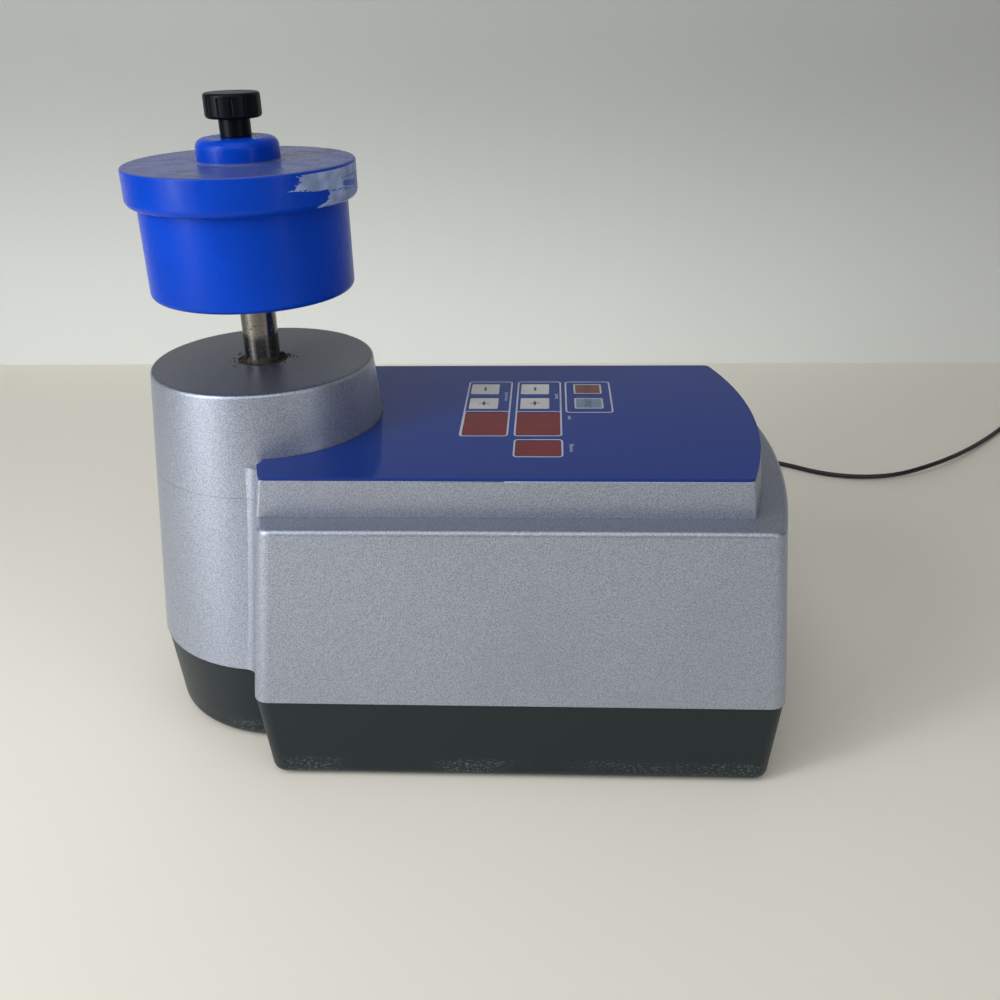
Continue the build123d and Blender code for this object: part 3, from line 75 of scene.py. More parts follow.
Pair = tuple[float, float]
Triple = tuple[float, float, float]
Colour = Triple
MM = 0.001
SPINDLE_X = -0.13805
LID_HUB_HEIGHT = 14.65 * MM
CAPITAL_SHARE = 0.69

BLACK_PLASTIC: Colour = (0.012, 0.012, 0.013)
DRUM_BLUE: Colour = (0.001, 0.049, 0.48)
SCREW_STEEL: Colour = (0.56, 0.56, 0.57)
NICKEL: Colour = (0.62, 0.60, 0.55)


# ---- shader sheets
class Wire:
    """A shader socket that takes part in Python expressions."""

    def __init__(self, sheet: "Sheet", socket: bpy.types.NodeSocket) -> None:
        """Wraps an output socket of a sheet's node."""
        self.sheet = sheet
        self.socket = socket

    def maths(self, operation: str, *values: "Wire | float") -> "Wire":
        """The result of a Math node with these inputs, in order."""
        node = self.sheet.node("ShaderNodeMath", {"operation": operation}, dict(enumerate(values)))
        return Wire(self.sheet, node.outputs[0])

    def __add__(self, other: "Wire | float") -> "Wire":
        """Sum."""
        return self.maths("ADD", self, other)

    def __radd__(self, other: float) -> "Wire":
        """Sum with a number in front."""
        return self.maths("ADD", other, self)

    def __sub__(self, other: "Wire | float") -> "Wire":
        """Difference."""
        return self.maths("SUBTRACT", self, other)

    def __rsub__(self, other: float) -> "Wire":
        """Difference from a number."""
        return self.maths("SUBTRACT", other, self)

    def __mul__(self, other: "Wire | float") -> "Wire":
        """Product."""
        return self.maths("MULTIPLY", self, other)

    def __rmul__(self, other: float) -> "Wire":
        """Product with a number in front."""
        return self.maths("MULTIPLY", other, self)

    def rise(self, low: float, high: float) -> "Wire":
        """A smooth step.

        Args:
            low: where it is 0; it falls where this is above high.
            high: where it is 1.

        Returns:
            The step, from 0 to 1.
        """
        sockets = {"Value": self, "From Min": min(low, high), "From Max": max(low, high)}
        node = self.sheet.node("ShaderNodeMapRange", {"interpolation_type": "SMOOTHSTEP"}, sockets)
        step = Wire(self.sheet, node.outputs["Result"])
        return step if low < high else 1 - step


class Sheet:
    """The node tree of one material."""

    def __init__(self, name: str) -> None:
        """Starts an empty material with its output.

        Args:
            name: the material's name.
        """
        self.material = bpy.data.materials.new(name)
        self.material.use_nodes = True
        self.tree = self.material.node_tree
        self.tree.nodes.clear()
        self.output = self.node("ShaderNodeOutputMaterial")

    def node(
        self,
        kind: str,
        settings: dict[str, object] | None = None,
        sockets: "dict[str | int, Wire | float | tuple] | None" = None,
    ) -> bpy.types.Node:
        """Adds a node.

        Args:
            kind: the node's type.
            settings: its properties, which are set first.
            sockets: values or links of its inputs.

        Returns:
            The node.
        """
        node = self.tree.nodes.new(kind)
        for name, value in (settings or {}).items():
            setattr(node, name, value)
        for key, value in (sockets or {}).items():
            if isinstance(value, Wire):
                self.tree.links.new(value.socket, node.inputs[key])
            elif isinstance(value, tuple) and node.inputs[key].type == "RGBA":
                node.inputs[key].default_value = (*value, 1.0)
            else:
                node.inputs[key].default_value = value
        return node

    def place(self) -> Wire:
        """Object coordinates."""
        return Wire(self, self.node("ShaderNodeTexCoord").outputs["Object"])

    def axes(self) -> tuple[Wire, Wire, Wire]:
        """The three object coordinates, one by one."""
        parts = self.node("ShaderNodeSeparateXYZ", sockets={0: self.place()})
        return tuple(Wire(self, output) for output in parts.outputs)

    def mapped(self, **sockets: Triple) -> Wire:
        """Object coordinates after a Rotation or Scale on each axis."""
        node = self.node("ShaderNodeMapping", sockets={"Vector": self.place(), **sockets})
        return Wire(self, node.outputs[0])

    def joined(self, x: "Wire | float", y: "Wire | float", z: "Wire | float") -> Wire:
        """A vector from three values."""
        return Wire(self, self.node("ShaderNodeCombineXYZ", sockets={0: x, 1: y, 2: z}).outputs[0])

    def noise(self, scale: float, detail: float = 3.0, vector: Wire | None = None) -> Wire:
        """Noise around 0.5, on object coordinates unless a vector is given."""
        sockets = {"Vector": vector or self.place(), "Scale": scale, "Detail": detail}
        return Wire(self, self.node("ShaderNodeTexNoise", sockets=sockets).outputs[0])

    def mixed(self, factor: "Wire | float", first: "Wire | Colour", second: "Wire | Colour") -> Wire:
        """A colour between two colours."""
        node = self.node("ShaderNodeMix", {"data_type": "RGBA"}, {0: factor, 6: first, 7: second})
        return Wire(self, node.outputs[2])

    def bump(self, height: Wire, depth: float) -> Wire:
        """A normal bent by a relief from 0 to 1, whose depth is in metres."""
        sockets = {"Height": height, "Distance": depth, "Strength": 1.0}
        return Wire(self, self.node("ShaderNodeBump", sockets=sockets).outputs[0])

    def surface(self, **sockets: "Wire | float | tuple") -> None:
        """Adds the surface shader.

        Args:
            sockets: values or links by name, with underscores for spaces.
        """
        named = {name.replace("_", " "): value for name, value in sockets.items()}
        shader = self.node("ShaderNodeBsdfPrincipled", sockets=named)
        self.tree.links.new(shader.outputs[0], self.output.inputs[0])


# ---- finishes
@dataclass(frozen=True)
class Finish:
    """A surface finish.

    Attributes:
        name: the material's name.
        colour: main colour, linear.
        roughness: mean roughness.
    """

    name: str
    colour: Colour
    roughness: float

    def paint(self, sheet: Sheet) -> None:
        """Builds the finish's nodes.

        Args:
            sheet: the material's sheet.
        """
        raise NotImplementedError

    def material(self) -> bpy.types.Material:
        """The finish's material, built once.

        Returns:
            The material.
        """
        title = f"{self.name}_finish"
        ready = bpy.data.materials.get(title)
        if ready is not None:
            return ready
        sheet = Sheet(title)
        self.paint(sheet)
        return sheet.material

    def shade(self, amount: float) -> Colour:
        """The main colour, lightened or darkened."""
        return tuple(min(1.0, part * amount) for part in self.colour)


@dataclass(frozen=True)
class Moulded(Finish):
    """Moulded plastic: fine grain, a little dust in it and a slight wave in the gloss."""

    grain: float = 0.9 * MM
    depth: float = 0.03 * MM
    coat: float = 0.0
    specular: float = 0.5
    cloud_scale: float = 28.0
    dusted: float = 1.22
    unevenness: float = 0.16
    coat_roughness: float = 0.06

    def paint(self, sheet: Sheet) -> None:
        """Grain, dust and gloss."""
        grain = sheet.noise(1.0 / self.grain, 2.0)
        cloud = sheet.noise(self.cloud_scale, 4.0)
        sheet.surface(
            Base_Color=sheet.mixed(cloud.rise(0.35, 0.75), self.colour, self.shade(self.dusted)),
            Roughness=self.roughness + (cloud - 0.5) * self.unevenness,
            Specular_IOR_Level=self.specular,
            Coat_Weight=self.coat,
            Coat_Roughness=self.coat_roughness,
            Normal=sheet.bump(grain, self.depth),
        )


@dataclass(frozen=True)
class Elastic(Finish):
    """Rubber or felt: matt, with a fine dusty bloom."""

    pore_scale: float = 1800.0
    pore_depth: float = 0.05 * MM
    bloom_scale: float = 60.0
    bloomed: float = 2.2
    bloom_cover: float = 0.5
    bloom_roughness: float = 0.12

    def paint(self, sheet: Sheet) -> None:
        """Bloom and fine pores."""
        pores = sheet.noise(self.pore_scale, 2.0)
        bloom = sheet.noise(self.bloom_scale, 5.0).rise(0.5, 0.8)
        sheet.surface(
            Base_Color=sheet.mixed(bloom * self.bloom_cover, self.colour, self.shade(self.bloomed)),
            Roughness=self.roughness + bloom * self.bloom_roughness,
            Normal=sheet.bump(pores, self.pore_depth),
        )


class Lay(Enum):
    """Which way the marks of machining run."""

    TURNED = (40.0, 40.0, 2600.0)
    ROLLED = (60.0, 2200.0, 2200.0)
    CAST = (700.0, 700.0, 700.0)


@dataclass(frozen=True)
class Metal(Finish):
    """Bare metal with the marks of how it was made."""

    lay: Lay = Lay.TURNED
    stain: Colour = (0.09, 0.05, 0.03)
    stained: float = 0.12
    cloud_scale: float = 45.0
    spot_scale: float = 420.0
    dark_mark: float = 0.86
    bright_mark: float = 1.08
    mark_roughness: float = 0.16
    cloud_roughness: float = 0.12
    mark_depth: float = 0.012 * MM

    def marks(self, sheet: Sheet) -> Wire:
        """The fine marks, from 0 to 1."""
        return sheet.noise(1.0, 3.0, sheet.mapped(Scale=self.lay.value))

    def paint(self, sheet: Sheet) -> None:
        """Marks, tarnish and small stains."""
        marks = self.marks(sheet)
        cloud = sheet.noise(self.cloud_scale, 5.0)
        spots = sheet.noise(self.spot_scale, 3.0).rise(0.66, 0.74) * self.stained
        bright = sheet.mixed(marks, self.shade(self.dark_mark), self.shade(self.bright_mark))
        uneven = self.roughness + (marks - 0.5) * self.mark_roughness
        sheet.surface(
            Base_Color=sheet.mixed(spots, bright, self.stain),
            Metallic=1.0 - spots,
            Roughness=uneven + (cloud - 0.5) * self.cloud_roughness + spots * 0.5,
            Normal=sheet.bump(marks, self.mark_depth),
        )


@dataclass(frozen=True)
class SpindleSteel(Metal):
    """The ground spindle, with rust creeping up from the tower.

    Attributes:
        rust_from: height of the tower's top.
        rust_reach: height above it at which the solid rust ends.
        pit_reach: height above it at which the pits end.
    """

    rust_from: float = 0.0
    rust_reach: float = 4.0 * MM
    pit_reach: float = 48.0 * MM
    pit_scale: float = 520.0
    tear: float = 16.0 * MM
    tear_scale: float = 260.0
    dark_rust: Colour = (0.030, 0.020, 0.015)
    pale_rust: Colour = (0.10, 0.066, 0.046)
    relief: float = 0.05 * MM

    def paint(self, sheet: Sheet) -> None:
        """Turning marks, pitting and rust."""
        _, _, z = sheet.axes()
        marks = self.marks(sheet)
        ragged = sheet.noise(self.tear_scale, 4.0)
        above = z - self.rust_from
        low = (above + (ragged - 0.5) * self.tear).rise(self.rust_reach, -1.0 * MM)
        pits = sheet.noise(self.pit_scale, 3.0).rise(0.60, 0.68)
        climbing = above.rise(self.pit_reach, 2.0 * MM)
        rust = low.maths("MAXIMUM", low * 0.9, pits * climbing)
        brown = sheet.mixed(ragged.rise(0.35, 0.65), self.dark_rust, self.pale_rust)
        bright = sheet.mixed(marks, self.shade(0.8), self.shade(1.1))
        sheet.surface(
            Base_Color=sheet.mixed(rust, bright, brown),
            Metallic=1.0 - rust * 0.95,
            Roughness=self.roughness + (marks - 0.5) * 0.12 + rust * 0.5,
            Normal=sheet.bump(marks * 0.3 + rust * 0.7, self.relief),
        )


@dataclass(frozen=True)
class SilverPaint(Finish):
    """Metallic textured paint of the upper casing, crusted round the spindle.

    Attributes:
        top: height of the tower's flat top.
        ledge: height of the box's shoulder.
        grain_turn: how the grain is turned, so that it lines up with no face.
        crust_edge, dust_edge: radii round the spindle between which each ends.
    """

    top: float = 0.0
    ledge: float = 0.1925
    grain_turn: Triple = (0.6, 0.4, 0.9)
    flake_scale: float = 1300.0
    peel_scale: float = 620.0
    dark_flake: float = 0.74
    bright_flake: float = 1.22
    cloud_scale: float = 9.0
    tear_scale: float = 240.0
    crust_edge: Pair = (0.0158, 0.0142)
    crust_tear: float = 0.022
    dust_edge: Pair = (0.062, 0.030)
    dust_tear: float = 0.05
    chip_scale: float = 900.0
    dark_crust: Colour = (0.030, 0.026, 0.023)
    pale_crust: Colour = (0.24, 0.235, 0.22)
    metal_share: float = 0.72
    top_shadow: float = 0.62
    ledge_shadow: float = 0.30
    relief: float = 0.11 * MM

    def from_spindle(self, sheet: Sheet) -> Wire:
        """Distance from the spindle's axis.

        Args:
            sheet: the material's sheet.

        Returns:
            The distance, in metres.
        """
        x, y, _ = sheet.axes()
        arm = sheet.joined(x - SPINDLE_X, y, 0.0)
        node = sheet.node("ShaderNodeVectorMath", {"operation": "LENGTH"}, {0: arm})
        return Wire(sheet, node.outputs["Value"])

    def paint(self, sheet: Sheet) -> None:
        """Flake speckle, orange peel, dust, and the crust round the shaft hole."""
        _, _, z = sheet.axes()
        flakes = sheet.noise(self.flake_scale, 3.0, sheet.mapped(Rotation=self.grain_turn))
        peel = sheet.noise(self.peel_scale, 2.0, sheet.mapped(Rotation=self.grain_turn))
        cloud = sheet.noise(self.cloud_scale, 4.0)
        dark, bright = self.shade(self.dark_flake), self.shade(self.bright_flake)
        base = sheet.mixed(flakes.rise(0.36, 0.64), dark, bright)
        base = sheet.mixed(cloud.rise(0.45, 0.8) * 0.25, base, self.shade(0.75))
        away = self.from_spindle(sheet)
        ragged = sheet.noise(self.tear_scale, 4.0)
        on_top = (z - self.top).rise(-1.2 * MM, -0.4 * MM)
        crust = (away + (ragged - 0.5) * self.crust_tear).rise(*self.crust_edge) * on_top
        dust = (away + (ragged - 0.5) * self.dust_tear).rise(*self.dust_edge) * on_top
        chips = sheet.noise(self.chip_scale, 2.0).rise(0.40, 0.62)
        dirt = sheet.mixed(chips, self.dark_crust, self.pale_crust)
        over = z - self.ledge
        on_ledge = over.rise(-0.5 * MM, -0.1 * MM) * over.rise(0.5 * MM, 0.1 * MM)
        shadow = on_top * self.top_shadow + on_ledge * self.ledge_shadow
        base = sheet.mixed(shadow, base, self.shade(0.10))
        base = sheet.mixed(dust * 0.35, base, self.shade(0.30))
        sheet.surface(
            Base_Color=sheet.mixed(crust, base, dirt),
            Metallic=(1 - crust) * self.metal_share,
            Roughness=self.roughness + (flakes - 0.5) * 0.18 + crust * 0.35,
            Normal=sheet.bump(peel * (1 - crust) + chips * crust, self.relief),
        )


@dataclass(frozen=True)
class TrayPlastic(Finish):
    """Dark satin plastic of the tray, scuffed along its foot between two heights."""

    scuff: Colour = (0.16, 0.175, 0.18)
    scuff_from: float = 21.0 * MM
    scuff_full: float = 13.0 * MM
    streak_scale: Triple = (420.0, 420.0, 900.0)
    patch_scale: float = 13.0
    grain_scale: float = 1300.0
    cloud_scale: float = 14.0
    specular: float = 0.35
    relief: float = 0.035 * MM

    def paint(self, sheet: Sheet) -> None:
        """Fine grain, and pale scuffs that run along the walls near the floor."""
        _, _, z = sheet.axes()
        grain = sheet.noise(self.grain_scale, 2.0)
        cloud = sheet.noise(self.cloud_scale, 5.0)
        streaks = sheet.noise(1.0, 6.0, sheet.mapped(Scale=self.streak_scale))
        patches = sheet.noise(self.patch_scale, 3.0).rise(0.40, 0.58)
        low = z.rise(self.scuff_from, self.scuff_full)
        worn = streaks.rise(0.50, 0.66) * patches * low
        sheet.surface(
            Specular_IOR_Level=self.specular,
            Base_Color=sheet.mixed(worn * 0.7, self.colour, self.scuff),
            Roughness=self.roughness + (cloud - 0.5) * 0.2 + worn * 0.25,
            Normal=sheet.bump(grain, self.relief),
        )


@dataclass(frozen=True)
class DrumPaint(Finish):
    """Satin-gloss blue of the drum."""

    speck: Colour = (0.30, 0.36, 0.55)
    speck_scale: float = 950.0
    wave_scale: float = 130.0
    specular: float = 0.12

    def base(self, sheet: Sheet) -> Wire:
        """The blue, a little uneven and dusted.

        Args:
            sheet: the material's sheet.

        Returns:
            The colour.
        """
        cloud = sheet.noise(18.0, 4.0)
        specks = sheet.noise(self.speck_scale, 2.0).rise(0.74, 0.80)
        blue = sheet.mixed(cloud.rise(0.3, 0.8), self.colour, self.shade(1.18))
        return sheet.mixed(specks * 0.30, blue, self.speck)

    def paint(self, sheet: Sheet) -> None:
        """Blue with a faint wave."""
        wave = sheet.noise(self.wave_scale, 2.0)
        cloud = sheet.noise(30.0, 4.0)
        sheet.surface(
            Base_Color=self.base(sheet),
            Roughness=self.roughness + (cloud - 0.5) * 0.14,
            Specular_IOR_Level=self.specular,
            Normal=sheet.bump(wave, 0.03 * MM),
        )


@dataclass(frozen=True)
class LidPaint(DrumPaint):
    """The lid's blue, with torn residue left on its skirt.

    Turns are radians round the lid, and drops are millimetres below its flat top.

    Attributes:
        top: height of the lid's flat top.
        start: turn at which the patch's fingers begin.
        end: turns between which the patch fades out.
        foot_drop: drop of its lower edge at foot_turn; the edge falls by foot_slope a radian.
        toe_turn: turn at which the toe below the band begins.
        slit_turn: turns between which the cracks fall.
        slit_drops: drops of the wide crack's edges where it begins.
        slit_ends: turns at which it begins and ends.
    """

    top: float = 0.0
    residue: Colour = (0.36, 0.45, 0.66)
    # dust: a dusty grey for the lid's flat top, partly dust and partly painted shade that darkens it
    dust: Colour = (0.105, 0.125, 0.22)
    start: float = -0.80
    end: Pair = (0.80, 0.70)
    rim_drop: float = 1.5
    foot_drop: float = 10.6
    foot_turn: float = -0.85
    foot_slope: float = 7.0
    toe_turn: float = -0.53
    toe_drop: float = 22.6
    toe_bend_drop: float = 18.0
    slit_turn: Pair = (-0.42, 0.10)
    crack_drop: float = 7.8
    slit_drops: Pair = (9.4, 12.2)
    slit_ends: Pair = (-0.34, 0.08)
    patch_cover: float = 0.86
    slit_cover: float = 0.85
    lid_specular: float = 0.16
    relief: float = 0.06 * MM

    def patch(self, turn: Wire, down: Wire, ragged: Wire) -> Wire:
        """The torn patch: a band under the rim that ends in fingers, and a toe below its far half.

        Args:
            turn: angle round the lid.
            down: millimetres below the lid's top.
            ragged: noise around 0 that tears the edges.

        Returns:
            1 on the patch, 0 beside it.
        """
        foot = self.foot_drop + (turn - self.foot_turn) * self.foot_slope + ragged * 2.2
        fingers = turn + (down - 2.5) * 0.0125 + ragged * 0.15
        under_rim = down.rise(self.rim_drop, self.rim_drop + 0.4)
        begun = fingers.rise(self.start, self.start + 0.015)
        band = begun * (foot - down).rise(-0.15, 0.15) * under_rim
        past_bend = down - self.toe_bend_drop
        heel = turn + past_bend.maths("MAXIMUM", past_bend, 0.0) * 0.035 + ragged * 0.07
        toe_foot = (down + ragged * 0.4).rise(self.toe_drop, self.toe_drop - 0.4)
        toe = heel.rise(self.toe_turn, self.toe_turn + 0.01) * toe_foot * (down - foot).rise(0.3, 0.5)
        return band.maths("MAXIMUM", band, toe) * turn.rise(*self.end)

    def slits(self, turn: Wire, down: Wire, ragged: Wire) -> Wire:
        """Two cracks in the patch, where the blue shows.

        Args:
            turn: angle round the lid.
            down: millimetres below the lid's top.
            ragged: noise around 0 that tears the edges.

        Returns:
            Nearly 1 in the cracks, 0 beside them.
        """
        run = turn.rise(*self.slit_turn)
        from_crack = down - self.crack_drop + ragged * 0.5
        crack = from_crack.maths("ABSOLUTE", from_crack)
        begun = turn.rise(self.slit_turn[0], self.slit_turn[0] + 0.06)
        upper = (crack - run * 0.7).rise(0.05, -0.10) * begun
        top, foot = self.slit_drops
        start, end = self.slit_ends
        high = (down - top - run * 2.2 + ragged * 0.4).rise(-0.15, 0.15)
        low = (down - foot - run * 3.8 + ragged * 0.4).rise(0.15, -0.15)
        ends = turn.rise(start, start + 0.06)
        wide = high * low * ends * (turn + ragged * 0.02).rise(end, end - 0.02)
        return upper.maths("MAXIMUM", upper, wide) * self.slit_cover

    def torn(self, sheet: Sheet) -> Wire:
        """Where the torn residue lies.

        Args:
            sheet: the material's sheet.

        Returns:
            1 on it, 0 beside it.
        """
        x, y, z = sheet.axes()
        x_out = x - SPINDLE_X
        turn = x_out.maths("ARCTAN2", y, x_out)
        down = (self.top - z) * (1.0 / MM)
        streaks = sheet.noise(1.0, 4.0, sheet.joined(turn * 9.0 + down * 0.30, down * 0.55, 0.0))
        tears = sheet.noise(1.0, 5.0, sheet.joined(turn * 34.0, down * 1.3, 3.0))
        ragged = (streaks - 0.5) * 2.0 + (tears - 0.5) * 0.8
        return self.patch(turn, down, ragged) * (1 - self.slits(turn, down, ragged))

    def paint(self, sheet: Sheet) -> None:
        """Blue, a torn patch on the skirt, and on the top rubbed dust with painted shade that darkens
        it.
        """
        _, _, z = sheet.axes()
        above = z - self.top
        torn = self.torn(sheet)
        veil = sheet.noise(90.0, 5.0).rise(0.36, 0.70)
        haze = sheet.noise(14.0, 4.0).rise(0.35, 0.75)
        thin, thick = (tuple(share * part for part in self.residue) for share in (0.80, 1.35))
        tint = sheet.mixed(veil, thin, thick)
        # Partly dust, partly painted shade: the flat top is mixed towards the darker dusty grey.
        flat = above.rise(-0.8 * MM, -0.2 * MM) * above.rise(2.0 * MM, 1.0 * MM)
        blue = sheet.mixed(flat * (haze * 0.12 + 0.62), self.base(sheet), self.dust)
        wave = sheet.noise(self.wave_scale, 2.0)
        sheet.surface(
            Base_Color=sheet.mixed(torn * self.patch_cover, blue, tint),
            Roughness=self.roughness + torn * 0.3 + (veil - 0.5) * 0.1,
            Specular_IOR_Level=self.lid_specular,
            Normal=sheet.bump(wave * 0.4 + torn * 0.6, self.relief),
        )


@dataclass(frozen=True)
class PanelGloss(Finish):
    """Glossy printed foil of the control panel, lightly scratched."""

    hair_scale: Triple = (90.0, 2400.0, 90.0)
    specular: float = 0.15
    relief: float = 0.02 * MM

    def paint(self, sheet: Sheet) -> None:
        """Blue under a clear gloss, with hairlines and fingermarks."""
        hairs = sheet.noise(1.0, 2.0, sheet.mapped(Scale=self.hair_scale)).rise(0.70, 0.76)
        marks = sheet.noise(30.0, 5.0).rise(0.5, 0.8)
        sheet.surface(
            Base_Color=sheet.mixed(hairs * 0.10, self.colour, self.shade(2.0)),
            Roughness=self.roughness + marks * 0.05 + hairs * 0.15,
            Specular_IOR_Level=self.specular,
            Normal=sheet.bump(sheet.noise(45.0, 2.0), self.relief),
        )


@dataclass(frozen=True)
class Backdrop(Finish):
    """A plain pale surface; painted light makes it lighter by foot near the bench, which fades out at a
    height.
    """

    foot: float = 1.0
    fade: float = 0.45
    specular: float = 0.3

    def paint(self, sheet: Sheet) -> None:
        """Faint cloud and grain, with painted light that makes it paler towards the bench."""
        _, _, z = sheet.axes()
        cloud = sheet.noise(5.0, 3.0)
        grain = sheet.noise(900.0, 2.0)
        plain = sheet.mixed(cloud, self.shade(0.97), self.shade(1.03))
        sheet.surface(
            # Painted light: the colour is mixed towards a lighter one near the bench, fading out at the
            # fade height.
            Base_Color=sheet.mixed(z.rise(self.fade, 0.0), plain, self.shade(self.foot)),
            Roughness=self.roughness + (cloud - 0.5) * 0.1,
            Specular_IOR_Level=self.specular,
            Normal=sheet.bump(grain, 0.03 * MM),
        )


@dataclass(frozen=True)
class PlugPlastic(Moulded):
    """The plug's plastic body; its pins, from a point along a direction, are nickelled."""

    pins_from: Triple = (0.0, 0.0, 0.0)
    pins_along: Triple = (0.0, 0.0, 0.0)

    def paint(self, sheet: Sheet) -> None:
        """Plastic up to the pin face, metal beyond it."""
        x, y, _ = sheet.axes()
        along_x, along_y, _ = self.pins_along
        beyond = (x - self.pins_from[0]) * along_x + (y - self.pins_from[1]) * along_y
        metal = beyond.rise(0.05 * MM, 0.25 * MM)
        grain = sheet.noise(1.0 / self.grain, 2.0)
        sheet.surface(
            Base_Color=sheet.mixed(metal, self.colour, NICKEL),
            Metallic=metal,
            Roughness=self.roughness - metal * 0.2 + (grain - 0.5) * 0.06,
            Normal=sheet.bump(grain, self.depth),
        )


# ---- modelling helpers
def clear_selection() -> None:
    """Deselects everything."""
    bpy.ops.object.select_all(action="DESELECT")


def settle(piece: bpy.types.Object) -> None:
    """Applies a piece's place to its mesh, so that its object sits at the origin.

    Args:
        piece: the piece.
    """
    clear_selection()
    piece.select_set(True)
    bpy.context.view_layer.objects.active = piece
    bpy.ops.object.transform_apply(location=True, rotation=True, scale=True)


def finish_piece(piece: bpy.types.Object, name: str, body: str, finish: Finish) -> None:
    """Names, dresses and attaches a new piece.

    Args:
        piece: the piece, in place.
        name: its name.
        body: the body that it rides on.
        finish: its finish.
    """
    piece.name = name
    piece.data.materials.clear()
    piece.data.materials.append(finish.material())
    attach(piece, body)
    LOG.info("%s rides on %s", name, body)


def add_plate(centre: Vector, size: Pair, tilt: float = 0.0) -> bpy.types.Object:
    """Adds a flat plate.

    Args:
        centre: its middle.
        size: its extent along X and Y, before it is tilted.
        tilt: its turn about X, in radians.

    Returns:
        The plate.
    """
    clear_selection()
    bpy.ops.mesh.primitive_plane_add(size=1.0, location=centre, rotation=(tilt, 0.0, 0.0))
    plate = bpy.context.active_object
    plate.scale = (size[0], size[1], 1.0)
    settle(plate)
    return plate


def thicken(piece: bpy.types.Object, thickness: float) -> None:
    """Gives a flat piece its thickness, upwards from where it lies.

    Args:
        piece: the piece.
        thickness: its thickness.
    """
    bpy.context.view_layer.objects.active = piece
    piece.select_set(True)
    bpy.ops.object.modifier_add(type="SOLIDIFY")
    solid = piece.modifiers[-1]
    solid.thickness = thickness
    solid.offset = 1.0
    bpy.ops.object.modifier_apply(modifier=solid.name)


def rounded_film(
    centre: Vector, size: Pair, corner: float, thickness: float, line: float = 0.0
) -> bpy.types.Object:
    """A thin plate or frame with rounded corners.

    Args:
        centre: its middle.
        size: its outer extent along X and Y.
        corner: its outer corner radius.
        thickness: its thickness.
        line: the width of a frame's line; a plate has none.

    Returns:
        The plate or frame.
    """
    film = add_plate(centre, size)
    bpy.ops.object.mode_set(mode="EDIT")
    bpy.ops.mesh.select_all(action="SELECT")
    bpy.ops.mesh.bevel(offset=corner, segments=5, affect="VERTICES")
    if line > 0.0:
        bpy.ops.mesh.select_all(action="SELECT")
        bpy.ops.mesh.inset(thickness=line, use_even_offset=True)
        bpy.ops.mesh.delete(type="FACE")
    bpy.ops.object.mode_set(mode="OBJECT")
    thicken(film, thickness)
    return film


def add_word(word: str, centre: Vector, height: float, thickness: float) -> bpy.types.Object:
    """A printed word that reads from the box's free end.

    Args:
        word: the generic word.
        centre: its middle.
        height: the height of its capitals.
        thickness: its thickness.

    Returns:
        The word as a mesh.
    """
    clear_selection()
    bpy.ops.object.text_add(location=centre, rotation=(0.0, 0.0, math.radians(90)))
    text = bpy.context.active_object
    text.data.body = word
    text.data.size = height / CAPITAL_SHARE
    text.data.align_x = "CENTER"
    text.data.align_y = "CENTER"
    text.data.extrude = thickness / 2
    text.data.resolution_u = 3
    bpy.ops.object.convert(target="MESH")
    text = bpy.context.active_object
    settle(text)
    return text


# ---- sub-assemblies
@dataclass
class FramePieces:
    """The CAD pieces as they are, dressed by their material slots."""

    finishes: dict[str, Finish]
    special: dict[str, Finish]

    def dress(self, frame: dict) -> None:
        """Gives every CAD node its finish.
        """
        slots = {part["node"]: part["material_slot"] for part in frame["record"]["subparts"]}
        for node, piece in frame["nodes"].items():
            finish = self.special.get(node) or self.finishes[slots[node]]
            material = finish.material()
            for holder in piece.material_slots:
                holder.material = material
            LOG.info("%s wears %s", node, finish.name)


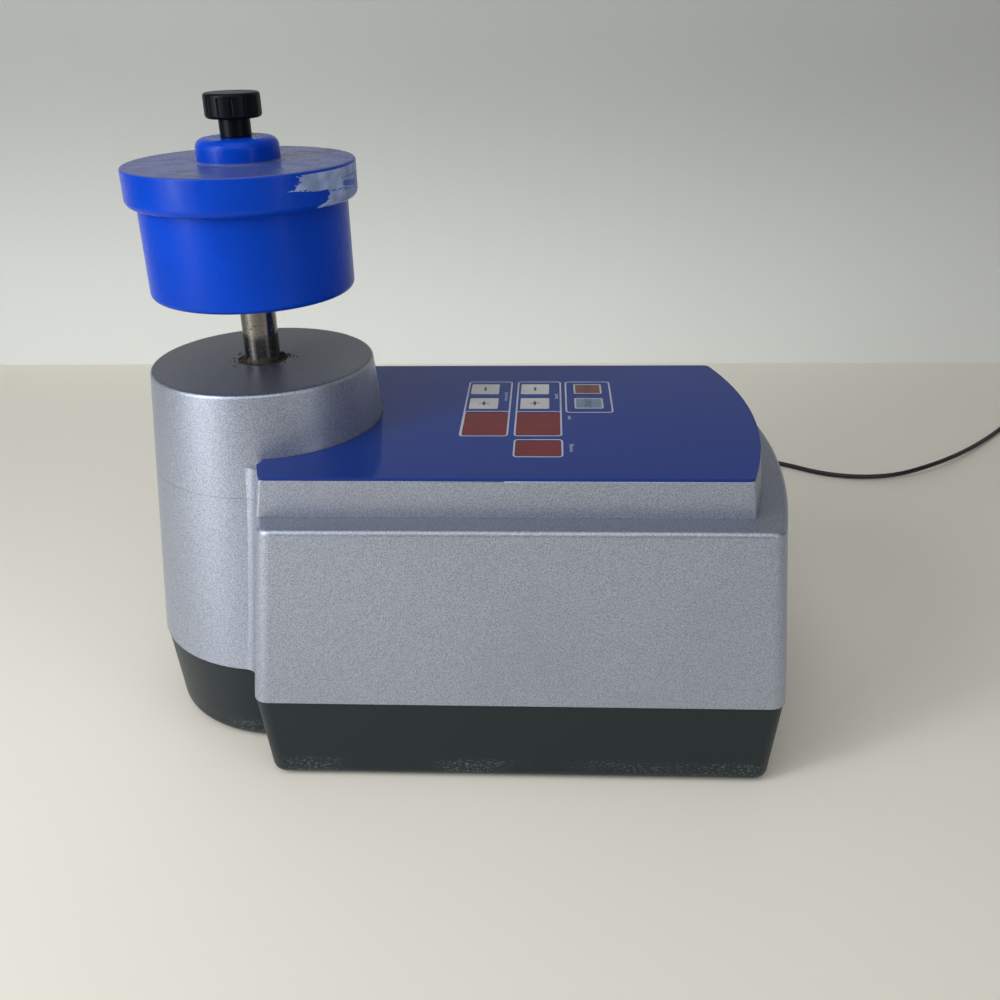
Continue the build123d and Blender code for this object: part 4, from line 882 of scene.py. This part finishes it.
@dataclass
class Keypad:
    """Print on the control panel and legends on its keys."""

    print_finish: Finish
    legend_finish: Finish
    line: float = 1.15 * MM
    corner: float = 3.2 * MM
    film: float = 0.06 * MM
    under_film: float = 0.05 * MM
    bar_length: float = 7.6 * MM
    bar_width: float = 1.6 * MM
    bar_corner: float = 0.5 * MM
    cross_length: float = 7.6 * MM
    cross_width: float = 0.95 * MM
    cross_corner: float = 0.3 * MM
    rim_line: float = 1.2 * MM
    rim_inset: float = 0.10 * MM
    rim_corner: float = 1.4 * MM
    key_flange: float = 1.2 * MM
    word_height: float = 5.0 * MM
    label_height: float = 2.9 * MM
    label_gap: float = 3.8 * MM
    side_margin: float = 1.45 * MM

    def panel_height(self) -> float:
        """Height of the panel's face."""
        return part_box("control_panel")[1][2]

    def around(
        self, nodes: Iterable[str], margins: tuple[float, float, float, float]
    ) -> tuple[Vector, Pair]:
        """Middle and size of a frame round some nodes.

        Args:
            nodes: the nodes inside it.
            margins: how far it reaches past them at low x, high x, low y and high y.

        Returns:
            The frame's middle on the panel's face, and its size.
        """
        boxes = [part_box(node) for node in nodes]
        low_x = min(box[0][0] for box in boxes) - margins[0]
        high_x = max(box[1][0] for box in boxes) + margins[1]
        low_y = min(box[0][1] for box in boxes) - margins[2]
        high_y = max(box[1][1] for box in boxes) + margins[3]
        middle = Vector(((low_x + high_x) / 2, (low_y + high_y) / 2, self.panel_height()))
        return middle, (high_x - low_x, high_y - low_y)

    def build_frames(self) -> None:
        """Lines round each group of keys and windows."""
        snug = (self.side_margin, self.side_margin, 2.4 * MM, 1.9 * MM)
        tall = (self.side_margin, self.side_margin, 2.4 * MM, 5.4 * MM)
        wide = (5.2 * MM, 5.4 * MM, 6.3 * MM, 5.4 * MM)
        groups = [
            ("time_group", ("time_minus_key", "time_plus_key", "time_window"), tall, self.film),
            ("speed_group", ("speed_minus_key", "speed_plus_key", "speed_window"), tall, self.film),
            ("run_group", ("stop_key", "start_key"), wide, self.film),
            ("time_window", ("time_window",), snug, self.under_film),
            ("speed_window", ("speed_window",), snug, self.under_film),
            ("status_window", ("status_window",), snug, self.film),
        ]
        for name, nodes, margins, film in groups:
            middle, size = self.around(nodes, margins)
            piece = rounded_film(middle, size, self.corner, film, self.line)
            finish_piece(piece, f"{name}_line", "casing", self.print_finish)

    def key_face(self, node: str) -> Vector:
        """The middle of a key's face."""
        low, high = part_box(node)
        return Vector(((low[0] + high[0]) / 2, (low[1] + high[1]) / 2, high[2]))

    def build_signs(self) -> None:
        """A minus or a plus on each setting key."""
        for setting in ("time", "speed"):
            for sign in ("minus", "plus"):
                node = f"{setting}_{sign}_key"
                face = self.key_face(node)
                bar = rounded_film(face, (self.bar_width, self.bar_length), self.bar_corner, self.film)
                finish_piece(bar, f"{setting}_{sign}_bar", node, self.legend_finish)
                if sign == "plus":
                    extent = (self.cross_length, self.cross_width)
                    cross = rounded_film(face, extent, self.cross_corner, self.film)
                    name = f"{setting}_plus_cross"
                    finish_piece(cross, name, node, self.legend_finish)

    def build_run_keys(self) -> None:
        """Word and pale rim on the stop and start keys."""
        for word in ("stop", "start"):
            node = f"{word}_key"
            face = self.key_face(node)
            low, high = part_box(node)
            tile = (high[0] - low[0]) - 2 * (self.key_flange + self.rim_inset)
            rim = rounded_film(face, (tile, tile), self.rim_corner, self.film, self.rim_line)
            finish_piece(rim, f"{word}_key_rim", node, self.print_finish)
            text = add_word(word.upper(), face, self.word_height, self.film)
            finish_piece(text, f"{word}_key_word", node, self.legend_finish)

    def build_labels(self) -> None:
        """Small generic labels, each right of the piece that it belongs to."""
        aside = self.line + self.side_margin
        labels = [  # text, node beside it, how far up, how much further right
            ("time (min)", "time_plus_key", 15.0 * MM, 0.0),
            ("speed", "speed_plus_key", 15.0 * MM, 0.0),
            ("rpm", "speed_window", 10.5 * MM, aside),
            ("running", "status_window", 0.0, aside),
        ]
        for label, node, up, further in labels:
            low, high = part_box(node)
            x = high[0] + self.label_gap + further
            middle = Vector((x, (low[1] + high[1]) / 2 + up, self.panel_height()))
            text = add_word(label, middle, self.label_height, self.film)
            name = f"{node.split('_')[0]}_{label.split()[0]}_label"
            finish_piece(text, name, "casing", self.print_finish)

    def build(self) -> None:
        """Everything printed."""
        self.build_frames()
        self.build_signs()
        self.build_run_keys()
        self.build_labels()


@dataclass
class Crust:
    """Chips of rust and dirt on the tower, between two distances from the spindle's axis.

    Their sizes are in millimetres, and their greatest lean is in radians.
    """

    finish: Finish
    count: int = 70
    inner: float = 13.6 * MM
    outer: float = 24.0 * MM
    sizes: Pair = (0.5, 1.9)
    lean: float = 0.25
    seed: int = 7

    def add_flake(self) -> bpy.types.Object:
        """One flake with a flat underside, a unit across.

        Returns:
            The flake.
        """
        clear_selection()
        bpy.ops.mesh.primitive_ico_sphere_add(subdivisions=1, radius=0.5, location=(0.0, 0.0, 0.0))
        bpy.ops.object.mode_set(mode="EDIT")
        bpy.ops.mesh.select_all(action="SELECT")
        bpy.ops.mesh.bisect(
            plane_co=(0.0, 0.0, -0.2), plane_no=(0.0, 0.0, 1.0), clear_inner=True, use_fill=True
        )
        bpy.ops.object.mode_set(mode="OBJECT")
        return bpy.context.active_object

    def scatter(self, flake: bpy.types.Object) -> list[bpy.types.Object]:
        """Copies the flake round the spindle.

        Args:
            flake: the flake.

        Returns:
            The copies, in place.
        """
        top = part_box("upper_housing")[1][2]
        rng = random.Random(self.seed)
        copies = []
        for _ in range(self.count):
            turn = rng.uniform(0.0, 2 * math.pi)
            reach = self.inner + (self.outer - self.inner) * rng.random() ** 2.0
            size = rng.uniform(*self.sizes) * MM
            copy = flake.copy()
            copy.data = flake.data.copy()
            bpy.context.collection.objects.link(copy)
            x, y = reach * math.cos(turn), reach * math.sin(turn)
            copy.location = (SPINDLE_X + x, y, top + 0.1 * size)
            leans = (rng.uniform(-self.lean, self.lean), rng.uniform(-self.lean, self.lean))
            copy.rotation_euler = (*leans, rng.uniform(0, 6.28))
            copy.scale = (size * rng.uniform(0.8, 1.8), size, size * rng.uniform(0.35, 0.7))
            copies.append(copy)
        return copies

    def build(self) -> None:
        """One flake modelled, then copied round the shaft and joined."""
        flake = self.add_flake()
        copies = self.scatter(flake)
        bpy.data.objects.remove(flake)
        clear_selection()
        for copy in copies:
            copy.select_set(True)
        bpy.context.view_layer.objects.active = copies[0]
        bpy.ops.object.join()
        crust = bpy.context.active_object
        settle(crust)
        finish_piece(crust, "tower_crust", "casing", self.finish)


@dataclass
class MainsLead:
    """The lead: from the gland along the bench into a flat coil, with its plug beside it.

    Places and lengths are millimetres from the spindle axis, but radius and length are metres.
    """

    finish: Finish
    radius: float = 2.5 * MM
    exit: Triple = (295.0, 165.8, 30.0)
    route: tuple[Triple, ...] = (
        (295.0, 195.0, 30.0),
        (296.0, 240.0, 13.0),
        (303.0, 292.0, 2.5),
        (318.0, 348.0, 2.5),
        (350.0, 397.0, 2.5),
        (399.0, 423.0, 2.5),
        (456.0, 410.0, 2.5),
        (509.0, 370.0, 2.5),
        (571.0, 361.0, 5.0),
        (628.0, 387.0, 9.0),
        (680.0, 433.0, 6.0),
        (730.0, 488.0, 2.5),
    )
    last_run: float = 60.0
    heading: float = math.radians(50.0)
    coil_radius: float = 36.0
    pitch: float = 5.7
    turns: int = 3
    lead_in: float = 5.0
    plug_lead: float = 25.0
    plug_length: float = 50.0
    steps: int = 8
    spread: float = 1.012
    length: float = 1.928

    def along(self) -> Vector:
        """Direction in which the lead runs into the coil."""
        return Vector((math.cos(self.heading), math.sin(self.heading), 0.0))

    def side(self) -> Vector:
        """Direction from the lead's entry to the coil's middle."""
        return Vector((math.sin(self.heading), -math.cos(self.heading), 0.0))

    def coil_middle(self) -> Vector:
        """The coil's middle, on the bench.

        Returns:
            The middle.
        """
        corner = Vector(self.route[-1])
        start = corner + self.along() * (self.last_run + self.lead_in)
        return Vector((start.x, start.y, 0.0)) + self.side() * self.coil_radius

    def coil_point(self, aside: float, forward: float, height: float) -> Vector:
        """A point of the coil, sideways and forward from its middle."""
        middle = self.coil_middle()
        return middle - self.side() * aside + self.along() * forward + Vector((0.0, 0.0, height))

    def coil_points(self) -> list[Vector]:
        """Control points of the turns: a spiral inwards, then one outwards on top of it.

        Returns:
            The points, in order.
        """
        low = self.radius / MM
        high = low + self.pitch
        halves = range(2 * self.turns + 1)
        inward = [(-1) ** half * (self.coil_radius - half // 2 * self.pitch) for half in halves]
        outward = [-stop for stop in reversed(inward)]
        stops = [(stop, low) for stop in inward] + [(stop, high) for stop in outward]
        points = [self.coil_point(inward[0], -self.lead_in, low)]
        for (start, start_height), (stop, stop_height) in zip(stops, stops[1:]):
            middle = (start + stop) / 2
            reach = abs(start - stop) / 2
            for step in range(self.steps):
                turn = math.pi * (step + 0.5) / self.steps
                aside = middle + math.copysign(reach, start) * math.cos(turn) * self.spread
                forward = math.copysign(reach, start) * math.sin(turn) * self.spread
                height = start_height + (stop_height - start_height) * (step + 0.5) / self.steps
                points.append(self.coil_point(aside, forward, height))
        points.append(self.coil_point(outward[-1], 0.0, high))
        points.append(self.coil_point(outward[-1], -self.plug_lead, high))
        return points

    def world(self, point: Iterable[float]) -> Triple:
        """A point in millimetres from the spindle axis, in the part's frame."""
        x, y, z = point
        return (SPINDLE_X + x * MM, y * MM, z * MM)

    def plug_face(self) -> Triple:
        """A point of the plug's pin face."""
        return self.world(self.coil_point(-self.coil_radius, -self.plug_lead - self.plug_length, 0.0))

    def build(self, frame: dict) -> None:
        """The lead as one smooth curve.
        """
        points = [self.exit, *self.route, *self.coil_points()]
        curve = bpy.data.curves.new("mains_lead", "CURVE")
        curve.dimensions = "3D"
        curve.bevel_depth = self.radius
        curve.bevel_resolution = 5
        curve.resolution_u = 6
        curve.use_fill_caps = True
        spline = curve.splines.new("NURBS")
        spline.points.add(len(points) - 1)
        for control, point in zip(spline.points, points):
            control.co = (*self.world(point), 1.0)
        spline.order_u = 3
        spline.use_endpoint_u = True
        lead = bpy.data.objects.new("mains_lead", curve)
        bpy.context.collection.objects.link(lead)
        finish_piece(lead, "mains_lead", "casing", self.finish)
        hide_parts("cord", "cord_coil")
        self.world(self.exit)


# ---- studio
@dataclass
class Studio:
    """Camera, bench, backdrop and soft light."""

    camera_place: Triple = (0.0610, -0.67975, 0.48394)
    pitch: float = math.radians(26.0)
    yaw: float = math.radians(-3.02)
    roll: float = math.radians(-1.10)
    lens: float = 37.03
    sensor: float = 36.0
    near_clip: float = 0.01
    wall_y: float = 0.77
    wall_size: Pair = (12.0, 4.0)
    bench_depth: float = 6.0
    aim: Triple = (0.0, 0.0, 0.2)
    sky: Colour = (0.90, 0.92, 0.95)
    sky_strength: float = 0.10

    def build_camera(self) -> None:
        """A camera at the photographed angle."""
        level = math.cos(self.pitch)
        ahead = (math.sin(self.yaw) * level, math.cos(self.yaw) * level, -math.sin(self.pitch))
        forward = Vector(ahead)
        level_right = Vector((math.cos(self.yaw), -math.sin(self.yaw), 0.0))
        level_up = level_right.cross(forward)
        right = level_right * math.cos(self.roll) + level_up * math.sin(self.roll)
        up = level_up * math.cos(self.roll) - level_right * math.sin(self.roll)
        data = bpy.data.cameras.new("view")
        data.lens = self.lens
        data.sensor_width = self.sensor
        data.clip_start = self.near_clip
        camera = bpy.data.objects.new("view", data)
        turn = Matrix((right, up, -forward)).transposed()
        camera.matrix_world = Matrix.Translation(self.camera_place) @ turn.to_4x4()
        bpy.context.collection.objects.link(camera)
        bpy.context.scene.camera = camera

    def build_room(self) -> None:
        """A pale bench and a pale wall."""
        bench = Backdrop("bench", (0.90, 0.865, 0.77), 0.45)
        # The wall's foot of 1.7 is painted light: lighter near the bench.
        wall = Backdrop("wall", (0.52, 0.53, 0.515), 0.8, foot=1.7)
        width, height = self.wall_size
        floor_middle = Vector((0.0, self.wall_y - self.bench_depth / 2, 0.0))
        floor = add_plate(floor_middle, (width, self.bench_depth))
        back = add_plate(Vector((0.0, self.wall_y, height / 2)), self.wall_size, math.radians(90))
        for plate, finish in ((floor, bench), (back, wall)):
            plate.name = finish.name
            plate.data.materials.append(finish.material())

    def add_softbox(
        self, name: str, place: Triple, size: Pair, power: float, tint: Colour
    ) -> None:
        """A soft area lamp that faces the object.

        Args:
            name: its name.
            place: where it stands.
            size: its width and height.
            power: its power in watts.
            tint: its colour.
        """
        data = bpy.data.lights.new(name, "AREA")
        data.shape = "RECTANGLE"
        data.size, data.size_y = size
        data.energy = power
        data.color = tint
        lamp = bpy.data.objects.new(name, data)
        lamp.location = place
        ray = Vector(self.aim) - Vector(place)
        lamp.rotation_euler = ray.to_track_quat("-Z", "Y").to_euler()
        bpy.context.collection.objects.link(lamp)

    def build_light(self) -> None:
        """A broad key and a slim window from the left front, a fill, two lamps above and a soft sky."""
        self.add_softbox("key", (-1.05, -0.80, 0.75), (1.0, 1.3), 9.5, (0.96, 0.98, 1.0))
        self.add_softbox("window", (-1.03, -0.785, 0.74), (0.26, 1.3), 7.0, (0.96, 0.98, 1.0))
        self.add_softbox("fill", (1.05, -0.95, 0.70), (0.35, 1.2), 2.6, (0.95, 0.98, 1.0))
        self.add_softbox("front", (0.1, -1.6, 1.7), (1.6, 0.9), 6.5, (1.0, 1.0, 0.98))
        self.add_softbox("top", (0.0, -0.6, 2.1), (1.6, 1.4), 7.5, (1.0, 0.99, 0.97))
        world = bpy.data.worlds.new("sky")
        world.use_nodes = True
        ground = world.node_tree.nodes["Background"]
        ground.inputs["Color"].default_value = (*self.sky, 1.0)
        ground.inputs["Strength"].default_value = self.sky_strength
        bpy.context.scene.world = world

    def build(self) -> None:
        """Everything round the object."""
        self.build_camera()
        self.build_room()
        self.build_light()
        bpy.context.scene.view_settings.view_transform = "Standard"


def plain_finishes() -> dict[str, Finish]:
    """The finish of each material slot.

    Returns:
        Slot name to finish.
    """
    tower_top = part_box("upper_housing")[1][2]
    fine = {"grain": 0.6 * MM, "depth": 0.01 * MM}
    return {
        "silver_paint": SilverPaint("casing_silver", (0.395, 0.428, 0.515), 0.42, tower_top),
        "tray_plastic": TrayPlastic("tray_charcoal", (0.0085, 0.0165, 0.0205), 0.42),
        "rubber_black": Elastic("foot_rubber", (0.016, 0.016, 0.016), 0.72),
        "screw_steel": Metal("zinc_plate", SCREW_STEEL, 0.34, Lay.CAST),
        "panel_blue": PanelGloss("panel_foil", (0.010, 0.036, 0.225), 0.10),
        "key_grey": Moulded("key_foil", (0.50, 0.50, 0.52), 0.32, **fine),
        "key_red": Moulded("stop_foil", (0.13, 0.040, 0.040), 0.30, **fine, specular=0.3),
        "key_blue": Moulded("start_foil", (0.14, 0.20, 0.30), 0.30, **fine, specular=0.3),
        "window_red": Moulded(
            "window_foil", (0.15, 0.016, 0.020), 0.14, 0.8 * MM, 0.005 * MM, specular=0.15
        ),
        "display_black": Moulded("display_case", (0.015, 0.015, 0.016), 0.5),
        "board_green": Moulded("solder_mask", (0.012, 0.11, 0.035), 0.3, 1.2 * MM, 0.02 * MM, 0.3),
        "switch_black": Moulded("switch_case", (0.02, 0.02, 0.02), 0.55),
        "ribbon_grey": Moulded("ribbon_sheath", (0.30, 0.30, 0.32), 0.5, 1.27 * MM, 0.1 * MM),
        "chassis_aluminium": Metal("milled_plate", (0.66, 0.67, 0.68), 0.36, Lay.ROLLED),
        "cast_grey": Metal("cast_housing", (0.30, 0.30, 0.31), 0.58, Lay.CAST),
        "bearing_steel": Metal("bearing_race", (0.60, 0.60, 0.61), 0.16, Lay.TURNED, stained=0.02),
        "spring_steel": Metal("clip_steel", (0.16, 0.16, 0.17), 0.40, Lay.CAST),
        "pulley_aluminium": Metal("turned_aluminium", (0.64, 0.65, 0.66), 0.30),
        "belt_rubber": Elastic("belt_rubber", (0.018, 0.018, 0.019), 0.66),
        "motor_paint": Moulded("motor_enamel", (0.03, 0.03, 0.034), 0.4, 1.4 * MM, 0.06 * MM),
        "core_steel": Metal("core_steel", (0.33, 0.32, 0.31), 0.46),
        "bush_bronze": Metal("bush_bronze", (0.50, 0.30, 0.13), 0.42, Lay.CAST),
        "fan_plastic": Moulded("fan_plastic", (0.045, 0.045, 0.05), 0.48),
        "transformer_tape": Moulded("winding_tape", (0.42, 0.30, 0.04), 0.46),
        "sink_aluminium": Metal("anodised_sink", (0.05, 0.05, 0.055), 0.46, Lay.ROLLED, stained=0.0),
        "capacitor_sleeve": Moulded("capacitor_sleeve", (0.012, 0.02, 0.11), 0.24),
        "terminal_green": Moulded("terminal_case", (0.012, 0.16, 0.05), 0.36),
        "drum_blue": DrumPaint("drum_blue", DRUM_BLUE, 0.28),
        "gasket_rubber": Elastic("gasket_rubber", (0.05, 0.05, 0.05), 0.66),
        "seal_felt": Elastic("seal_felt", (0.05, 0.034, 0.025), 0.9),
        "knob_black": Moulded(
            "knob_plastic", (0.0022, 0.0036, 0.0062), 0.36, 0.5 * MM, 0.02 * MM, specular=0.13
        ),
        "insert_brass": Metal("brass_insert", (0.62, 0.42, 0.16), 0.28),
        "cord_black": Elastic("lead_sheath", (0.010, 0.010, 0.011), 0.40),
        "plug_black": Moulded("gland_plastic", BLACK_PLASTIC, 0.45),
    }


def special_finishes(lead: MainsLead) -> dict[str, Finish]:
    """Finishes of single pieces.

    Args:
        lead: the mains lead, which says where the plug's pins begin.

    Returns:
        Node name to finish.
    """
    tower_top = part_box("upper_housing")[1][2]
    lid_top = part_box("drum_lid")[1][2] - LID_HUB_HEIGHT
    pins = {"pins_from": lead.plug_face(), "pins_along": tuple(-lead.along())}
    return {
        "drum_lid": LidPaint("lid_blue", DRUM_BLUE, 0.28, top=lid_top),
        "drive_shaft": SpindleSteel("spindle_steel", (0.20, 0.19, 0.175), 0.10, rust_from=tower_top),
        "tie_rod": Metal("rod_steel", (0.60, 0.58, 0.55), 0.28),
        "plug": PlugPlastic("plug_plastic", BLACK_PLASTIC, 0.42, **pins),
    }


def main() -> None:
    """Builds the looks in order."""
    logging.basicConfig(level=logging.INFO, format="%(name)s: %(message)s")
    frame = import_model()
    finishes = plain_finishes()
    lead = MainsLead(finishes["cord_black"])
    FramePieces(finishes, special_finishes(lead)).dress(frame)
    Keypad(
        Moulded("panel_print", (0.44, 0.45, 0.52), 0.3, 0.6 * MM, 0.005 * MM),
        Moulded("legend_print", (0.010, 0.010, 0.012), 0.35, 0.6 * MM, 0.005 * MM),
    ).build()
    Crust(Elastic("crust_flakes", (0.10, 0.080, 0.062), 0.85)).build()
    lead.build(frame)
    Studio().build()


if __name__ == "__main__":
    main()
